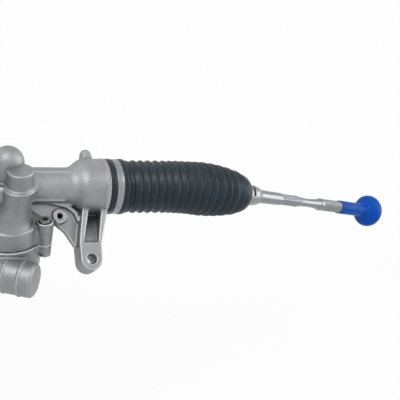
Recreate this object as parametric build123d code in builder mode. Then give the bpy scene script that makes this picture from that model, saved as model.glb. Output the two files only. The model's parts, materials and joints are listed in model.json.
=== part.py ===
from build123d import *
import os
from math import acos, cos, pi, radians, sin, sqrt, tan

# Steering rack with a driver's pinion on the left and an electric assist pinion on the right.
# X runs along the rack, Z is the direction of the mounting bolts, and the origin lies midway
# between the two bolt holes on the face that rests on the subframe.

# ---------------------------------------------------------------- driving dimensions (mm)
hole_span = 520.0        # between the two mounting bolts
lug_hole_r = 5.2
lug_height = 22.5        # through the ear, along the bolt
pad_step = 1.0           # the ear's machined face stands this far below the cast web
ear_r = 11.7
rack_y = 80.0            # rack axis, from the line of the bolts
rack_z = 13.0            # rack axis, above the subframe face
travel = 70.0            # each way from straight ahead

rack_r = 13.5
module = 2.0
pinion_teeth = 8
pressure_angle = 20.0
profile_shift = 0.5
tip_shortening = 0.4
addendum_rack = 1.8
dedendum_rack = 2.5
pitch_line = 9.0         # rack reference line, from the rack axis
backlash = 0.16          # along the pitch line
tooth_face = 28.0        # length of the pinion teeth
run_gap = 0.05           # radial, shaft in a bearing or bush
seat_gap = 0.02          # radial, between pieces pressed or screwed together
soft_gap = 0.3           # around rubber and between faces of different bodies

wall = 4.0               # cast wall
tube_r = 19.8
tube_bore = 16.0
joint_x = 96.0           # where the plain tube enters each casting
spigot_depth = 14.0
collar_r = 23.0
bell_reach = 22.4        # end face of the bell, beyond the bolt hole
bell_r = 29.2
bell_bore = 22.2
flare_length = 22.0
bell_length = 21.0       # straight part of the bell
boot_seat_r = 26.0
boot_seat_length = 21.0

ball_reach = 98.0        # ball centre beyond the end face of the bell, straight ahead
ball_r = 13.5
ball_seat_wall = 1.5
ball_can_r = 19.0
ball_can_front = 9.0
ball_can_back = 30.0
stud_r = 8.0
stud_length = 20.0
droop = 25.0             # tie rods hang down by this angle
lead = 1.85              # and point forward by this one

assist_x = 175.0
assist_tilt = -8.5       # pinion axis leans away from square to the rack
assist_roll = 43.0       # and rolls about the rack away from Z
drive_x = -172.0
drive_tilt = 15.0
drive_roll = -20.0
worm_centres = 36.0
wheel_drop = 71.5        # wheel mid-plane below the rack level
wheel_teeth = 38
worm_starts = 2
worm_turn = 35.0         # worm axis, turned from the rack direction
worm_tunnel_r = 18.5

bump_length = 10.0
tube_outer = 18.0
bush_length = 12.0

guide_r = 15.0
guide_boss_r = 21.0
guide_depth = 26.0       # far face of the guide, from the rack axis
guide_plug_start = 30.0
guide_plug_end = 40.0

dome_r = 16.8
dome_station = 39.0
tower_r = 25.8
tower_waist_r = 19.5
shoulder_station = -27.2
flange_r = 34.5
chamber_r = 29.0
split_station = -47.5    # joint between tower casting and worm housing
lower_flange_r = 36.5
lower_flange_thickness = 9.0
side_boss_offset = 12.5
side_boss_r = 13.8
side_boss_top = 28.0
knob_r = 6.2
shaft_r = 8.5

needle_r = 11.5
needle_start = 17.0
needle_length = 16.0
lower_bearing_r = 20.0
lower_bearing_station = -34.0
lower_bearing_width = 12.0

screw_size = 8.0
screw_radius = 40.5
screw_angles = (36.0, 168.0, 284.0)
screw_seat_station = -27.0

# worm drive, stations along the worm axis from the wheel's centre
tunnel_end = 44.0
motor_face = -62.0
worm_bearing_r = 13.0
worm_bearing_width = 9.0
worm_bearing_far = 26.0
worm_bearing_near = -40.0
wheel_face = 14.0
worm_tip_r = 8.6
worm_root_r = 6.2
wheel_hub_r = 15.0
worm_shaft_r = 6.0
worm_length = 34.0
coupling_near = -56.0
coupling_far = -70.0
coupling_r = 11.0
rotor_shaft_r = 4.0

# motor on the worm axis
motor_flange_r = 38.0
motor_screw_size = 6.0
motor_screw_radius = 41.0
motor_screw_angles = (60.0, 240.0)
motor_r = 40.0
motor_length = 72.0
cover_length = 26.0
stator_r = 34.0
rotor_r = 20.0

# small lug for a harness clip
clip_lug_place = (34.5, -6.0, -61.5)
clip_lug_lean = 25.0
clip_lug_r = 5.6
clip_hole_r = 3.0
clip_hole_half = 5.0

# driver's pinion, input shaft and torque sensor, stations along the pinion axis
journal_r = 6.4
drive_foot = -37.0
drive_needle_start = -33.0
drive_bearing_r = 17.0
drive_bearing_start = 18.0
drive_bearing_width = 10.0
drive_split = 31.0
drive_flange_r = 25.0
drive_screw_radius = 27.0
drive_screw_size = 6.0
drive_screw_angles = (0.0, 120.0, 240.0)
input_r = 9.0
torsion_r = 4.5
torsion_gap = 0.1
sensor_top = 84.0
sensor_bore = 19.0
sensor_outer = 24.0
top_bearing_start = 66.0
top_bearing_width = 8.0
input_end = 120.0
spline_r = 8.6
spline_start = 98.0

# sockets
socket_wall = 1.6

# ball joint, stations along the rack from the ball centre
lip_station = 6.0
lip_r = 12.9
mouth_r = 14.3
seat_edge = -2.3         # the ball seat ends here, seen along the rod

# tie rod, stations along the rod from the ball centre
rod_neck_r = 6.3
rod_body_r = 7.6
rod_body_end = 130.0
hex_start = 161.0
hex_end = 193.0
hex_flats = 12.6
waist_r = 5.4
waist_start = 199.0
waist_end = 229.0
thread_r = 7.0
thread_start = 239.0
rod_end = 330.0
covered_start = 283.0    # lead-in of the thread, under the protector
covered_r = 6.7

# bellows, stations from the end face of the bell
crest_r = 27.9
valley_depth = 4.4
boot_wall = 2.0
cuff_r = 29.3
groove_r = 28.0
band_r = 29.1
band_start = 6.5
band_end = 14.5
cuff_end = 21.0
boot_start_ring = 25.0
first_crest = 33.0
ring_pitch = 9.0
straight_rings = 9
bend_start = 88.0        # beyond the bell, where the centre line leaves the rack axis
small_start = 98.0       # along the rod
small_end = 116.0
small_cuff_r = 9.9
bent_radii = (28.4, 28.6, 27.6, 25.9, 24.0, 22.0, 19.5)

# thread protector
cap_start = 284.0
cap_tube_r = 8.0
dish_r = 19.2

# ---------------------------------------------------------------- derived values and planes
pitch_r = module * pinion_teeth / 2
mesh_distance = pitch_line + pitch_r + profile_shift * module
pinion_tip_r = pitch_r + module * (1 + profile_shift) - tip_shortening
pinion_root_r = pitch_r - module * (1.25 - profile_shift)
pinion_chamber_r = pinion_tip_r + 1.0
lug_x = hole_span / 2
bell_x = lug_x + bell_reach
boot_seat_x = bell_x + boot_seat_length
ball_x = bell_x + ball_reach
rack_end_x = ball_x - ball_can_back
stop_x = rack_end_x - travel - soft_gap
rack = Plane(origin=(0, rack_y, rack_z), x_dir=(0, 1, 0), z_dir=(1, 0, 0))


def gear_plane(x, tilt, roll, toward):
    """Plane square to a pinion axis, with its origin where the axis passes closest to the rack.

    The local x direction is the rack direction seen along the pinion axis. toward is +1 when
    the pinion stands off the rack on the local -y side and -1 on the +y side.
    """
    t, r = radians(tilt), radians(roll)
    axis = Vector(sin(t), cos(t) * sin(r), cos(t) * cos(r))
    offset = Vector(0, -cos(r), sin(r)) * toward
    base = Vector(x, rack_y, rack_z) + offset * mesh_distance
    across = Vector(cos(t), -sin(t) * sin(r), -sin(t) * cos(r))
    return Plane(origin=base, x_dir=across, z_dir=axis)


assist = gear_plane(assist_x, assist_tilt, assist_roll, 1)
drive = gear_plane(drive_x, drive_tilt, drive_roll, 1)


def rod_plane(side):
    """Plane square to a tie rod at its ball centre, local z along the rod."""
    d, e = radians(droop), radians(lead)
    along = Vector(side * cos(d) * cos(e), sin(e), -sin(d) * cos(e))
    return Plane(origin=(side * ball_x, rack_y, rack_z), x_dir=(0, cos(e), sin(d) * sin(e)), z_dir=along)


def moved(plane, u, v, s=0.0):
    """The same plane with its origin moved by local u, v and along its normal by s."""
    return Plane(origin=plane.from_local_coords((u, v, s)), x_dir=plane.x_dir, z_dir=plane.z_dir)


# ---------------------------------------------------------------- small building helpers
def bar(plane, radius, start, end, mode=Mode.ADD):
    """Round bar along a plane's normal, between two stations on it."""
    with BuildSketch(plane.offset(start)) as outline:
        Circle(radius)
    extrude(outline.sketch, amount=end - start, mode=mode)


def ring(plane, outer, inner, start, end):
    """Plain ring along a plane's normal."""
    with BuildSketch(plane.offset(start)) as outline:
        Circle(outer)
        Circle(inner, mode=Mode.SUBTRACT)
    extrude(outline.sketch, amount=end - start)


def turn(plane, profile, mode=Mode.ADD):
    """Revolve a closed outline of (station, radius) points about a plane's normal."""
    side = Plane(origin=plane.origin, x_dir=plane.z_dir, z_dir=plane.y_dir)
    with BuildSketch(side) as outline:
        with BuildLine():
            Polyline(*profile, close=True)
        make_face()
    revolve(outline.sketch, axis=Axis(plane.origin, plane.z_dir), mode=mode)


def prism(plane, points, start, end, mode=Mode.ADD):
    """Straight prism of a closed outline, between two stations on a plane's normal."""
    with BuildSketch(plane.offset(start)) as outline:
        with BuildLine():
            Polyline(*points, close=True)
        make_face()
    extrude(outline.sketch, amount=end - start, mode=mode)


def cap_screw(plane, size, length, head_top):
    """Socket head cap screw; the head's top is at head_top and the shank runs down the normal."""
    head_height = size
    bar(plane, size * 0.75, head_top - head_height, head_top)
    bar(plane, size / 2, head_top - head_height - length, head_top - head_height)
    with BuildSketch(plane.offset(head_top - head_height * 0.6)) as socket:
        RegularPolygon(size * 0.43, 6)
    extrude(socket.sketch, amount=head_height * 0.6, mode=Mode.SUBTRACT)


def save(builder, name):
    """Label one finished piece and write it."""
    builder.part.label = name
    export_step(builder.part, f"parts/{name}.step")


os.makedirs("parts", exist_ok=True)


# ---------------------------------------------------------------- castings: bell, lug and rack bore
def bell_end(side):
    """Tube, flare, bell and the seat for the bellows at one end of the rack."""
    flare_end = bell_x - bell_length
    flare_start = flare_end - flare_length
    collar_end = joint_x + spigot_depth + 8
    axial = Plane(origin=rack.origin, x_dir=(side, 0, 0), z_dir=(0, -side, 0))
    with BuildSketch(axial) as outline:
        with BuildLine():
            Line((joint_x, 0), (joint_x, collar_r))
            Line((joint_x, collar_r), (collar_end - 4, collar_r))
            Line((collar_end - 4, collar_r), (collar_end, tube_r))
            Line((collar_end, tube_r), (flare_start, tube_r))
            Spline((flare_start, tube_r), (flare_end, bell_r), tangents=[(1, 0), (1, 0)])
            Line((flare_end, bell_r), (bell_x, bell_r))
            Line((bell_x, bell_r), (bell_x, boot_seat_r))
            Line((bell_x, boot_seat_r), (boot_seat_x, boot_seat_r))
            Line((boot_seat_x, boot_seat_r), (boot_seat_x, 0))
            Line((boot_seat_x, 0), (joint_x, 0))
        make_face()
    revolve(outline.sketch, axis=Axis(rack.origin, (side, 0, 0)))


def mounting_lug(side):
    """Two splayed legs that carry the ear with the bolt hole, and the sloping pocket between them."""
    floor = Plane.XY
    legs = [(-ear_r, 0), (-12, 17), (-6, 51), (-4, 62), (22, 62), (22, 51), (12.5, 17), (ear_r, 0)]
    pocket = [(-5.6, 16), (-6.9, 18), (0.9, 51), (3, 62), (16.4, 62), (14.7, 51), (8.6, 18), (7.2, 16)]
    slope = Plane(origin=(0, 17, lug_height - 2), z_dir=(0, 16, 34))
    prism(floor, [(side * (lug_x + x), y) for x, y in legs], pad_step, lug_height)
    with BuildPart(mode=Mode.PRIVATE) as hollow:
        prism(floor, [(side * (lug_x + x), y) for x, y in pocket], 0, lug_height + 1)
        split(bisect_by=slope, keep=Keep.TOP)
    add(hollow.part, mode=Mode.SUBTRACT)
    bar(moved(floor, side * lug_x, 0), ear_r, 0, lug_height)
    with BuildSketch(floor) as neck:
        with Locations((side * lug_x, 12)):
            Rectangle(2 * ear_r, 12)
    extrude(neck.sketch, amount=lug_height)


def rack_passage(side):
    """Bore for the rack, the wider bell bore and the counterbore for the plain tube."""
    bar(rack, tube_bore, side * (joint_x - 1), side * (boot_seat_x + 1), Mode.SUBTRACT)
    bar(rack, bell_bore, side * (stop_x - bump_length), side * (boot_seat_x + 1), Mode.SUBTRACT)
    bar(rack, tube_outer + seat_gap, side * (joint_x - 1), side * (joint_x + spigot_depth), Mode.SUBTRACT)


def guide_plane(gear, x):
    """Plane at the rack axis under a pinion, its normal pointing away from that pinion."""
    foot = Vector(x, rack_y, rack_z)
    away = foot - gear.origin
    return Plane(origin=foot, x_dir=(1, 0, 0), z_dir=away.normalized())


assist_guide = guide_plane(assist, assist_x)
drive_guide = guide_plane(drive, drive_x)

with BuildPart() as rack_housing_right:
    mounting_lug(1)
    bell_end(1)
    # tower around the assist pinion
    turn(assist, [
        (split_station, 0), (split_station, flange_r), (shoulder_station, flange_r),
        (shoulder_station + 1, flange_r - 1),
        (shoulder_station + 3, 30), (shoulder_station + 6, 25), (-17, 21.5), (-12, tower_waist_r),
        (-8, tower_waist_r),
        (8, tower_r - 0.6), (20, tower_r), (23, tower_r - 3), (23, 0),
    ])
    bar(assist, dome_r, 0, dome_station)
    with Locations(assist.offset(dome_station)):
        Sphere(dome_r)
    side_boss = moved(assist, side_boss_offset, 0)
    bar(side_boss, side_boss_r, 0, side_boss_top)
    bar(side_boss, side_boss_r + 2.4, -4, 12)
    bar(side_boss, side_boss_r + 3.6, -4, 9)
    # rack guide boss on the far side of the rack
    bar(assist_guide, guide_boss_r, 0, guide_plug_end)
    # screw bosses that join the worm housing
    for angle in screw_angles:
        a = radians(angle)
        boss = moved(assist, screw_radius * cos(a), -screw_radius * sin(a))
        bar(boss, 8.7, screw_seat_station - 3, screw_seat_station + 6)
        turn(boss, [
            (split_station, 0), (split_station, 7.2), (screw_seat_station - 3, 8.7),
            (screw_seat_station - 3, 0),
        ])
        arm = [(0, -17), (screw_radius, -7), (screw_radius, 7), (0, 17)]
        toward_boss = Plane(origin=assist.origin, x_dir=boss.origin - assist.origin, z_dir=assist.z_dir)
        prism(toward_boss, arm, split_station, screw_seat_station - 5)
    # knob on top of the bell
    knob = Plane(origin=(lug_x + 6.0, rack_y, rack_z), x_dir=(1, 0, 0), z_dir=(0, 1, 0))
    turn(knob, [(20, 0), (20, 9.5), (27, 8), (34, knob_r), (34, 0)])
    with Locations(knob.offset(34)):
        Sphere(knob_r)
    # accessory boss and the webs that tie it to tower, tube and lug
    accessory = moved(Plane.XY, 231.0, 47.0)
    bar(accessory, 7.7, 2, 18)
    web = [
        (196, 72), (196, 61), (220, 58), (226, 40.4), (236.7, 30.8), (245.6, 15.8), (251, 12),
        (256, 57), (256, 72),
    ]
    prism(Plane.XY, web, 6, 12)
    ledge = [
        (196, 66), (196, 61.5), (220, 60), (239, 56.4), (247, 50), (250, 41), (254, 41), (251, 52),
        (242, 60),
        (220, 64),
    ]
    prism(Plane.XY, ledge, 2, 17)
    shelf = [(192, 70), (192, 50), (204, 44), (226, 43), (232, 56), (222, 66)]
    prism(Plane.XY, shelf, 0, 14)
    # ribs along the tube, above and below
    bar(moved(rack, 10.4, 16.8), 1.4, joint_x + 30, lug_x - 16)
    bar(moved(rack, -17.6, 9.0), 1.4, joint_x + 30, lug_x - 24)
    # passages
    rack_passage(1)
    bar(assist, pinion_chamber_r, lower_bearing_station, 15, Mode.SUBTRACT)
    bar(assist, needle_r + seat_gap, 14, needle_start + needle_length + 1, Mode.SUBTRACT)
    lower_bearing_end = lower_bearing_station + lower_bearing_width
    bar(assist, lower_bearing_r + seat_gap, lower_bearing_station, lower_bearing_end, Mode.SUBTRACT)
    bar(assist, chamber_r, split_station - 1, lower_bearing_station, Mode.SUBTRACT)
    bar(assist_guide, guide_r + run_gap, 0, guide_plug_end + 1, Mode.SUBTRACT)
    for angle in screw_angles:
        a = radians(angle)
        boss = moved(assist, screw_radius * cos(a), -screw_radius * sin(a))
        bar(boss, screw_size * 0.75 + 0.8, screw_seat_station, screw_seat_station + 12, Mode.SUBTRACT)
        bar(boss, screw_size / 2 + 0.4, split_station - 1, screw_seat_station + 1, Mode.SUBTRACT)
    bar(moved(Plane.XY, lug_x, 0), lug_hole_r, -1, lug_height + 1, Mode.SUBTRACT)
    bar(accessory, 3.0, 4, 19, Mode.SUBTRACT)
save(rack_housing_right, "rack_housing_right")

with BuildPart() as rack_tube:
    ring(rack, tube_outer, tube_bore, -joint_x - spigot_depth, joint_x + spigot_depth)
save(rack_tube, "rack_tube")


# ---------------------------------------------------------------- worm housing below the tower
turn_angle = radians(worm_turn)
worm = Plane(
    origin=assist.from_local_coords((
        -sin(turn_angle) * worm_centres, -cos(turn_angle) * worm_centres, -wheel_drop,
    )),
    x_dir=assist.z_dir,
    z_dir=assist.x_dir * cos(turn_angle) - assist.y_dir * sin(turn_angle),
)
chamber_floor = -wheel_drop - wheel_face / 2 - 3.0
clip_lug = Plane(
    origin=assist.from_local_coords(clip_lug_place),
    x_dir=(0, 1, 0),
    z_dir=(sin(radians(clip_lug_lean)), 0, cos(radians(clip_lug_lean))),
)
clip_arm = clip_lug.origin - assist.from_local_coords((0, 0, clip_lug_place[2]))

with BuildPart() as worm_housing:
    turn(assist, [
        (split_station, 0), (split_station, lower_flange_r),
        (split_station - lower_flange_thickness, lower_flange_r),
        (split_station - lower_flange_thickness - 3, chamber_r + wall + 2),
        (chamber_floor + 2, chamber_r + wall),
        (chamber_floor - wall, chamber_r), (chamber_floor - wall, 0),
    ])
    turn(worm, [
        (motor_face, 0), (motor_face, motor_flange_r), (motor_face + 8, motor_flange_r),
        (motor_face + 14, worm_tunnel_r + 1), (tunnel_end - 2.5, worm_tunnel_r),
        (tunnel_end, worm_tunnel_r - 2.5),
        (tunnel_end, 0),
    ])
    for angle in motor_screw_angles:
        ear = moved(worm, motor_screw_radius * cos(radians(angle)), motor_screw_radius * sin(radians(angle)))
        bar(ear, 7.0, motor_face, motor_face + 8)
        bar(ear, motor_screw_size / 2 + seat_gap, motor_face - 1, motor_face + 9, Mode.SUBTRACT)
    for station in (12.0, 29.0):
        ring(worm, worm_tunnel_r + 1.2, worm_tunnel_r - 1, station, station + 2)
    for angle in screw_angles:
        a = radians(angle)
        boss = moved(assist, screw_radius * cos(a), -screw_radius * sin(a))
        foot_station = split_station - 15
        turn(boss, [(foot_station, 0), (foot_station, 6.2), (split_station, 7.2), (split_station, 0)])
        toward_boss = Plane(origin=assist.origin, x_dir=boss.origin - assist.origin, z_dir=assist.z_dir)
        prism(toward_boss, arm, split_station - lower_flange_thickness, split_station)
    bar(clip_lug, clip_lug_r, -clip_hole_half - 1, clip_hole_half)
    toward_lug = Plane(origin=assist.origin, x_dir=clip_arm, z_dir=assist.z_dir)
    clip_lug_station = clip_lug_place[2]
    prism(toward_lug, [(20, -4), (36, -4), (36, 4), (20, 4)], clip_lug_station - 6.5, clip_lug_station + 1.5)
    bar(assist, chamber_r - 0.5, chamber_floor, split_station + 1, Mode.SUBTRACT)
    bar(worm, worm_bearing_r + seat_gap, motor_face - 1, tunnel_end - 7, Mode.SUBTRACT)
    bar(clip_lug, clip_lug_r, clip_hole_half, clip_hole_half + 8, Mode.SUBTRACT)
    bar(clip_lug, clip_hole_r, -clip_hole_half, clip_hole_half + 1, Mode.SUBTRACT)
    for angle in screw_angles:
        a = radians(angle)
        bar(moved(assist, screw_radius * cos(a), -screw_radius * sin(a)), screw_size / 2 + seat_gap,
            split_station - 13, split_station + 1, Mode.SUBTRACT)
    bar(assist, 2 * lower_flange_r, split_station, 0, Mode.SUBTRACT)
save(worm_housing, "worm_housing")

with BuildPart() as housing_screws:
    for angle in screw_angles:
        a = radians(angle)
        cap_screw(moved(assist, screw_radius * cos(a), -screw_radius * sin(a)), screw_size,
                  screw_seat_station - split_station + 11, screw_seat_station + screw_size)
save(housing_screws, "housing_screws")


# ---------------------------------------------------------------- rack, bushes and stops
def gap_outline(height_from, height_to):
    """One space between two rack teeth: widths at two heights above the rack axis."""
    slope = tan(radians(pressure_angle))
    half = pi * module / 4 + backlash / 4
    low = half - (pitch_line - height_from) * slope
    high = half + (height_to - pitch_line) * slope
    return low, high


def cut_teeth(gear, x, length):
    """Flat and tooth spaces on the side of the rack that faces one pinion."""
    tilt = acos(gear.x_dir.dot(Vector(1, 0, 0)))
    pitch_x = pi * module / cos(tilt)
    tip_height = pitch_line + addendum_rack
    root_height = pitch_line - dedendum_rack
    toward = (gear.origin - Vector(x, rack_y, rack_z)).normalized()
    flat = Plane(origin=Vector(x, rack_y, rack_z) + toward * tip_height, x_dir=(1, 0, 0), z_dir=toward)
    with BuildSketch(flat) as relief:
        Rectangle(length, 2 * rack_r)
    extrude(relief.sketch, amount=rack_r, mode=Mode.SUBTRACT)
    low, high = gap_outline(root_height, rack_r)
    count = int((length - 2 * module) / pitch_x / 2)
    for k in range(-count, count + 1):
        foot = Vector(x + k * pitch_x, rack_y, rack_z)
        # local x along the tooth-normal rack direction, local y toward the pinion
        section = Plane(origin=foot, x_dir=gear.x_dir, z_dir=gear.z_dir)
        side = 1 if section.y_dir.dot(toward) > 0 else -1
        root, top = side * root_height, side * rack_r
        points = [(-low, root), (-high, top), (high, top), (low, root)]
        prism(section, points, -rack_r - 2, rack_r + 2, Mode.SUBTRACT)


toothed_length = 2 * travel + 30.0

with BuildPart() as rack_bar:
    bar(rack, rack_r, -rack_end_x, rack_end_x)
    chamfer(rack_bar.edges().filter_by(GeomType.CIRCLE), 1.0)
    cut_teeth(assist, assist_x, toothed_length)
    cut_teeth(drive, drive_x, toothed_length)
    for side in (-1, 1):
        stud_end = rack_end_x - stud_length - 1
        bar(rack, stud_r + seat_gap, side * stud_end, side * (rack_end_x + 1), Mode.SUBTRACT)
save(rack_bar, "rack_bar")

bush_end = stop_x - bump_length - 2.0
with BuildPart() as rack_bushes:
    for side in (-1, 1):
        ring(rack, tube_bore - seat_gap, rack_r + run_gap, side * (bush_end - bush_length), side * bush_end)
save(rack_bushes, "rack_bushes")

with BuildPart() as bump_stops:
    for side in (-1, 1):
        ring(rack, bell_bore - seat_gap, rack_r + 1.0, side * (stop_x - bump_length), side * stop_x)
save(bump_stops, "bump_stops")


# ---------------------------------------------------------------- pinions and shafts
def involute(radius, base):
    """Involute function at a radius."""
    a = acos(base / radius)
    return tan(a) - a


def pinion_teeth_section(plane, start, end, phase):
    """Toothed length of a pinion; one tooth points at the angle phase in the plane."""
    base = pitch_r * cos(radians(pressure_angle))
    half_at_pitch = (pi / 4 + profile_shift * tan(radians(pressure_angle))) * module - backlash / 4
    half_angle = half_at_pitch / pitch_r + involute(pitch_r, base)
    flank_radii = [base + 0.02 + (pinion_tip_r - base - 0.02) * i / 5 for i in range(6)]
    with BuildSketch(plane.offset(start)) as outline:
        Circle(pinion_root_r)
        for k in range(pinion_teeth):
            middle = phase + 2 * pi * k / pinion_teeth
            with BuildLine():
                upper = []
                lower = []
                for r in flank_radii:
                    a = half_angle - involute(r, base)
                    upper.append((r * cos(middle + a), r * sin(middle + a)))
                    lower.append((r * cos(middle - a), r * sin(middle - a)))
                root = half_angle
                inner = pinion_root_r - 0.5
                up = (inner * cos(middle + root), inner * sin(middle + root))
                low = (inner * cos(middle - root), inner * sin(middle - root))
                Spline(*upper)
                Spline(*lower)
                Line(up, upper[0])
                Line(low, lower[0])
                Line(upper[-1], lower[-1])
                Line(up, low)
            make_face()
    extrude(outline.sketch, amount=end - start)


assist_phase = pi / 2      # toward the rack, on the local +y side
half_face = tooth_face / 2
shaft_bottom = -wheel_drop - wheel_face / 2 - 1.0

with BuildPart() as assist_pinion:
    pinion_teeth_section(assist, -half_face, half_face, assist_phase)
    bar(assist, journal_r, half_face, needle_start + needle_length)
    bar(assist, pinion_tip_r - 0.6, lower_bearing_station + lower_bearing_width, -half_face)
    bar(assist, shaft_r, shaft_bottom, -half_face)
save(assist_pinion, "assist_pinion")


def bearing(plane, bore, outer, start, width):
    """Sealed rolling bearing: outer ring, inner ring and the seal carrier between them."""
    inner_ring = bore + (outer - bore) * 0.28
    outer_ring = outer - (outer - bore) * 0.28
    ring(plane, outer, outer_ring, start, start + width)
    ring(plane, inner_ring, bore, start, start + width)
    ring(plane, outer_ring - seat_gap, inner_ring + seat_gap, start + 0.6, start + width - 0.6)


with BuildPart() as assist_needle_bearing:
    ring(assist, needle_r, needle_r - 2, needle_start, needle_start + needle_length)
    needle_end = needle_start + needle_length
    ring(assist, needle_r - 2 - seat_gap, journal_r + run_gap, needle_start + 1, needle_end - 1)
save(assist_needle_bearing, "assist_needle_bearing")

with BuildPart() as assist_ball_bearing:
    bearing(assist, shaft_r + run_gap, lower_bearing_r, lower_bearing_station, lower_bearing_width)
save(assist_ball_bearing, "assist_ball_bearing")

wheel_tip_r = worm_centres - worm_tip_r - 0.1
wheel_plane = assist.offset(-wheel_drop)

with BuildPart() as worm_wheel_hub:
    ring(wheel_plane, wheel_hub_r, shaft_r + seat_gap, -wheel_face / 2, wheel_face / 2)
save(worm_wheel_hub, "worm_wheel_hub")

with BuildPart() as worm_wheel_rim:
    ring(wheel_plane, wheel_tip_r, wheel_hub_r + seat_gap, -wheel_face / 2, wheel_face / 2)
    with BuildSketch(wheel_plane.offset(-wheel_face / 2)) as spaces:
        with PolarLocations(wheel_tip_r, wheel_teeth):
            Trapezoid(2.6, 2.4, 70, rotation=90)
    extrude(spaces.sketch, amount=wheel_face, mode=Mode.SUBTRACT)
save(worm_wheel_rim, "worm_wheel_rim")


with BuildPart() as worm_shaft:
    bar(worm, worm_shaft_r, coupling_near, worm_bearing_far + worm_bearing_width)
    bar(worm, worm_root_r, -worm_length / 2, worm_length / 2)
    for start in range(worm_starts):
        lead_length = pi * 1.5 * worm_starts
        turns = (worm_length - 4) / lead_length
        base_plane = worm.offset(-worm_length / 2 + 1)
        with BuildSketch(base_plane) as thread:
            with Locations(Rotation(0, 0, 180 * start) * Location((worm_root_r + 1.0, 0, 0))):
                Rectangle(2.8, 3.2)
        twist = Solid.extrude_linear_with_rotation(
            section=thread.sketch.faces()[0], center=base_plane.origin,
            normal=worm.z_dir * (worm_length - 2), angle=360 * turns,
        )
        add(twist)
save(worm_shaft, "worm_shaft")

with BuildPart() as worm_bearings:
    bearing(worm, worm_shaft_r + run_gap, worm_bearing_r, worm_bearing_far, worm_bearing_width)
    bearing(worm, worm_shaft_r + run_gap, worm_bearing_r, worm_bearing_near, worm_bearing_width)
save(worm_bearings, "worm_bearings")

# ---------------------------------------------------------------- motor on the worm axis
motor_end = motor_face - motor_length
cover_half = motor_r + 2

with BuildPart() as motor_case:
    turn(worm, [
        (motor_face, motor_flange_r), (motor_face - 6, motor_flange_r), (motor_face - 12, motor_r),
        (motor_end, motor_r), (motor_end, stator_r + 0.1), (motor_face - 8, stator_r + 0.1),
        (motor_face - 8, worm_bearing_r), (motor_face, worm_bearing_r),
    ])
    for angle in motor_screw_angles:
        ear = moved(worm, motor_screw_radius * cos(radians(angle)), motor_screw_radius * sin(radians(angle)))
        bar(ear, 7.0, motor_face - 6, motor_face)
        bar(ear, motor_screw_size / 2 + 0.3, motor_face - 7, motor_face + 1, Mode.SUBTRACT)
        bar(ear, 7.2, motor_face - 30, motor_face - 6, Mode.SUBTRACT)
save(motor_case, "motor_case")

with BuildPart() as motor_stator:
    ring(worm, stator_r, rotor_r + 1.0, motor_end + 6, motor_face - 14)
save(motor_stator, "motor_stator")

with BuildPart() as motor_rotor:
    bar(worm, rotor_r, motor_end + 8, motor_face - 16)
    bar(worm, rotor_shaft_r, motor_end - 2, coupling_near - 2)
save(motor_rotor, "motor_rotor")

with BuildPart() as shaft_coupling:
    bar(worm, coupling_r, coupling_far, coupling_near + 4)
    bar(worm, worm_shaft_r + seat_gap, coupling_near - 1, coupling_near + 5, Mode.SUBTRACT)
    bar(worm, rotor_shaft_r + seat_gap, coupling_far - 1, coupling_near, Mode.SUBTRACT)
save(shaft_coupling, "shaft_coupling")

with BuildPart() as motor_end_cover:
    with BuildSketch(worm.offset(motor_end - cover_length)) as box_outline:
        RectangleRounded(2 * cover_half, 2 * cover_half, 14)
    extrude(box_outline.sketch, amount=cover_length)
    bar(worm, rotor_shaft_r + 4, motor_end - 8, motor_end + 1, Mode.SUBTRACT)
save(motor_end_cover, "motor_end_cover")


with BuildPart() as motor_screws:
    for angle in motor_screw_angles:
        ear = moved(worm, motor_screw_radius * cos(radians(angle)), motor_screw_radius * sin(radians(angle)))
        flipped = Plane(origin=ear.origin, x_dir=ear.x_dir, z_dir=ear.z_dir * -1)
        cap_screw(flipped, motor_screw_size, 14.0, -motor_face + 6 + motor_screw_size)
save(motor_screws, "motor_screws")


# ---------------------------------------------------------------- rack guides
def build_guide(plane):
    """Guide block with a saddle that the back of the rack slides on."""
    bar(plane, guide_r, 4, guide_depth)
    bar(plane, 8.0, guide_depth - 7, guide_depth + 1, Mode.SUBTRACT)
    bar(rack, rack_r + run_gap, -rack_end_x, rack_end_x, Mode.SUBTRACT)


def build_guide_springs(plane):
    """Pair of disc springs, back to back, between guide and plug."""
    start = guide_depth + 0.1
    end = guide_plug_start - 0.1
    middle = (start + end) / 2
    for near, far in ((start, middle - 0.05), (end, middle + 0.05)):
        thick = 0.9 if far > near else -0.9
        turn(plane, [(near, 8.3), (far - thick, 13.5), (far, 13.5), (near + thick, 8.3)])


def build_guide_plug(plane):
    """Threaded plug that sets the play of the guide, with a hexagon recess."""
    bar(plane, guide_r + run_gap - seat_gap, guide_plug_start, guide_plug_end)
    with BuildSketch(plane.offset(guide_plug_end - 6)) as recess:
        RegularPolygon(7.5, 6)
    extrude(recess.sketch, amount=7, mode=Mode.SUBTRACT)


with BuildPart() as assist_guide_block:
    build_guide(assist_guide)
save(assist_guide_block, "assist_guide_block")
with BuildPart() as assist_guide_springs:
    build_guide_springs(assist_guide)
save(assist_guide_springs, "assist_guide_springs")
with BuildPart() as assist_guide_plug:
    build_guide_plug(assist_guide)
save(assist_guide_plug, "assist_guide_plug")
with BuildPart() as drive_guide_block:
    build_guide(drive_guide)
save(drive_guide_block, "drive_guide_block")
with BuildPart() as drive_guide_springs:
    build_guide_springs(drive_guide)
save(drive_guide_springs, "drive_guide_springs")
with BuildPart() as drive_guide_plug:
    build_guide_plug(drive_guide)
save(drive_guide_plug, "drive_guide_plug")

# ---------------------------------------------------------------- left casting and driver's pinion


def drive_boss(angle):
    """Plane at one screw of the sensor cover."""
    a = radians(angle)
    return moved(drive, drive_screw_radius * cos(a), drive_screw_radius * sin(a))


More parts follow.
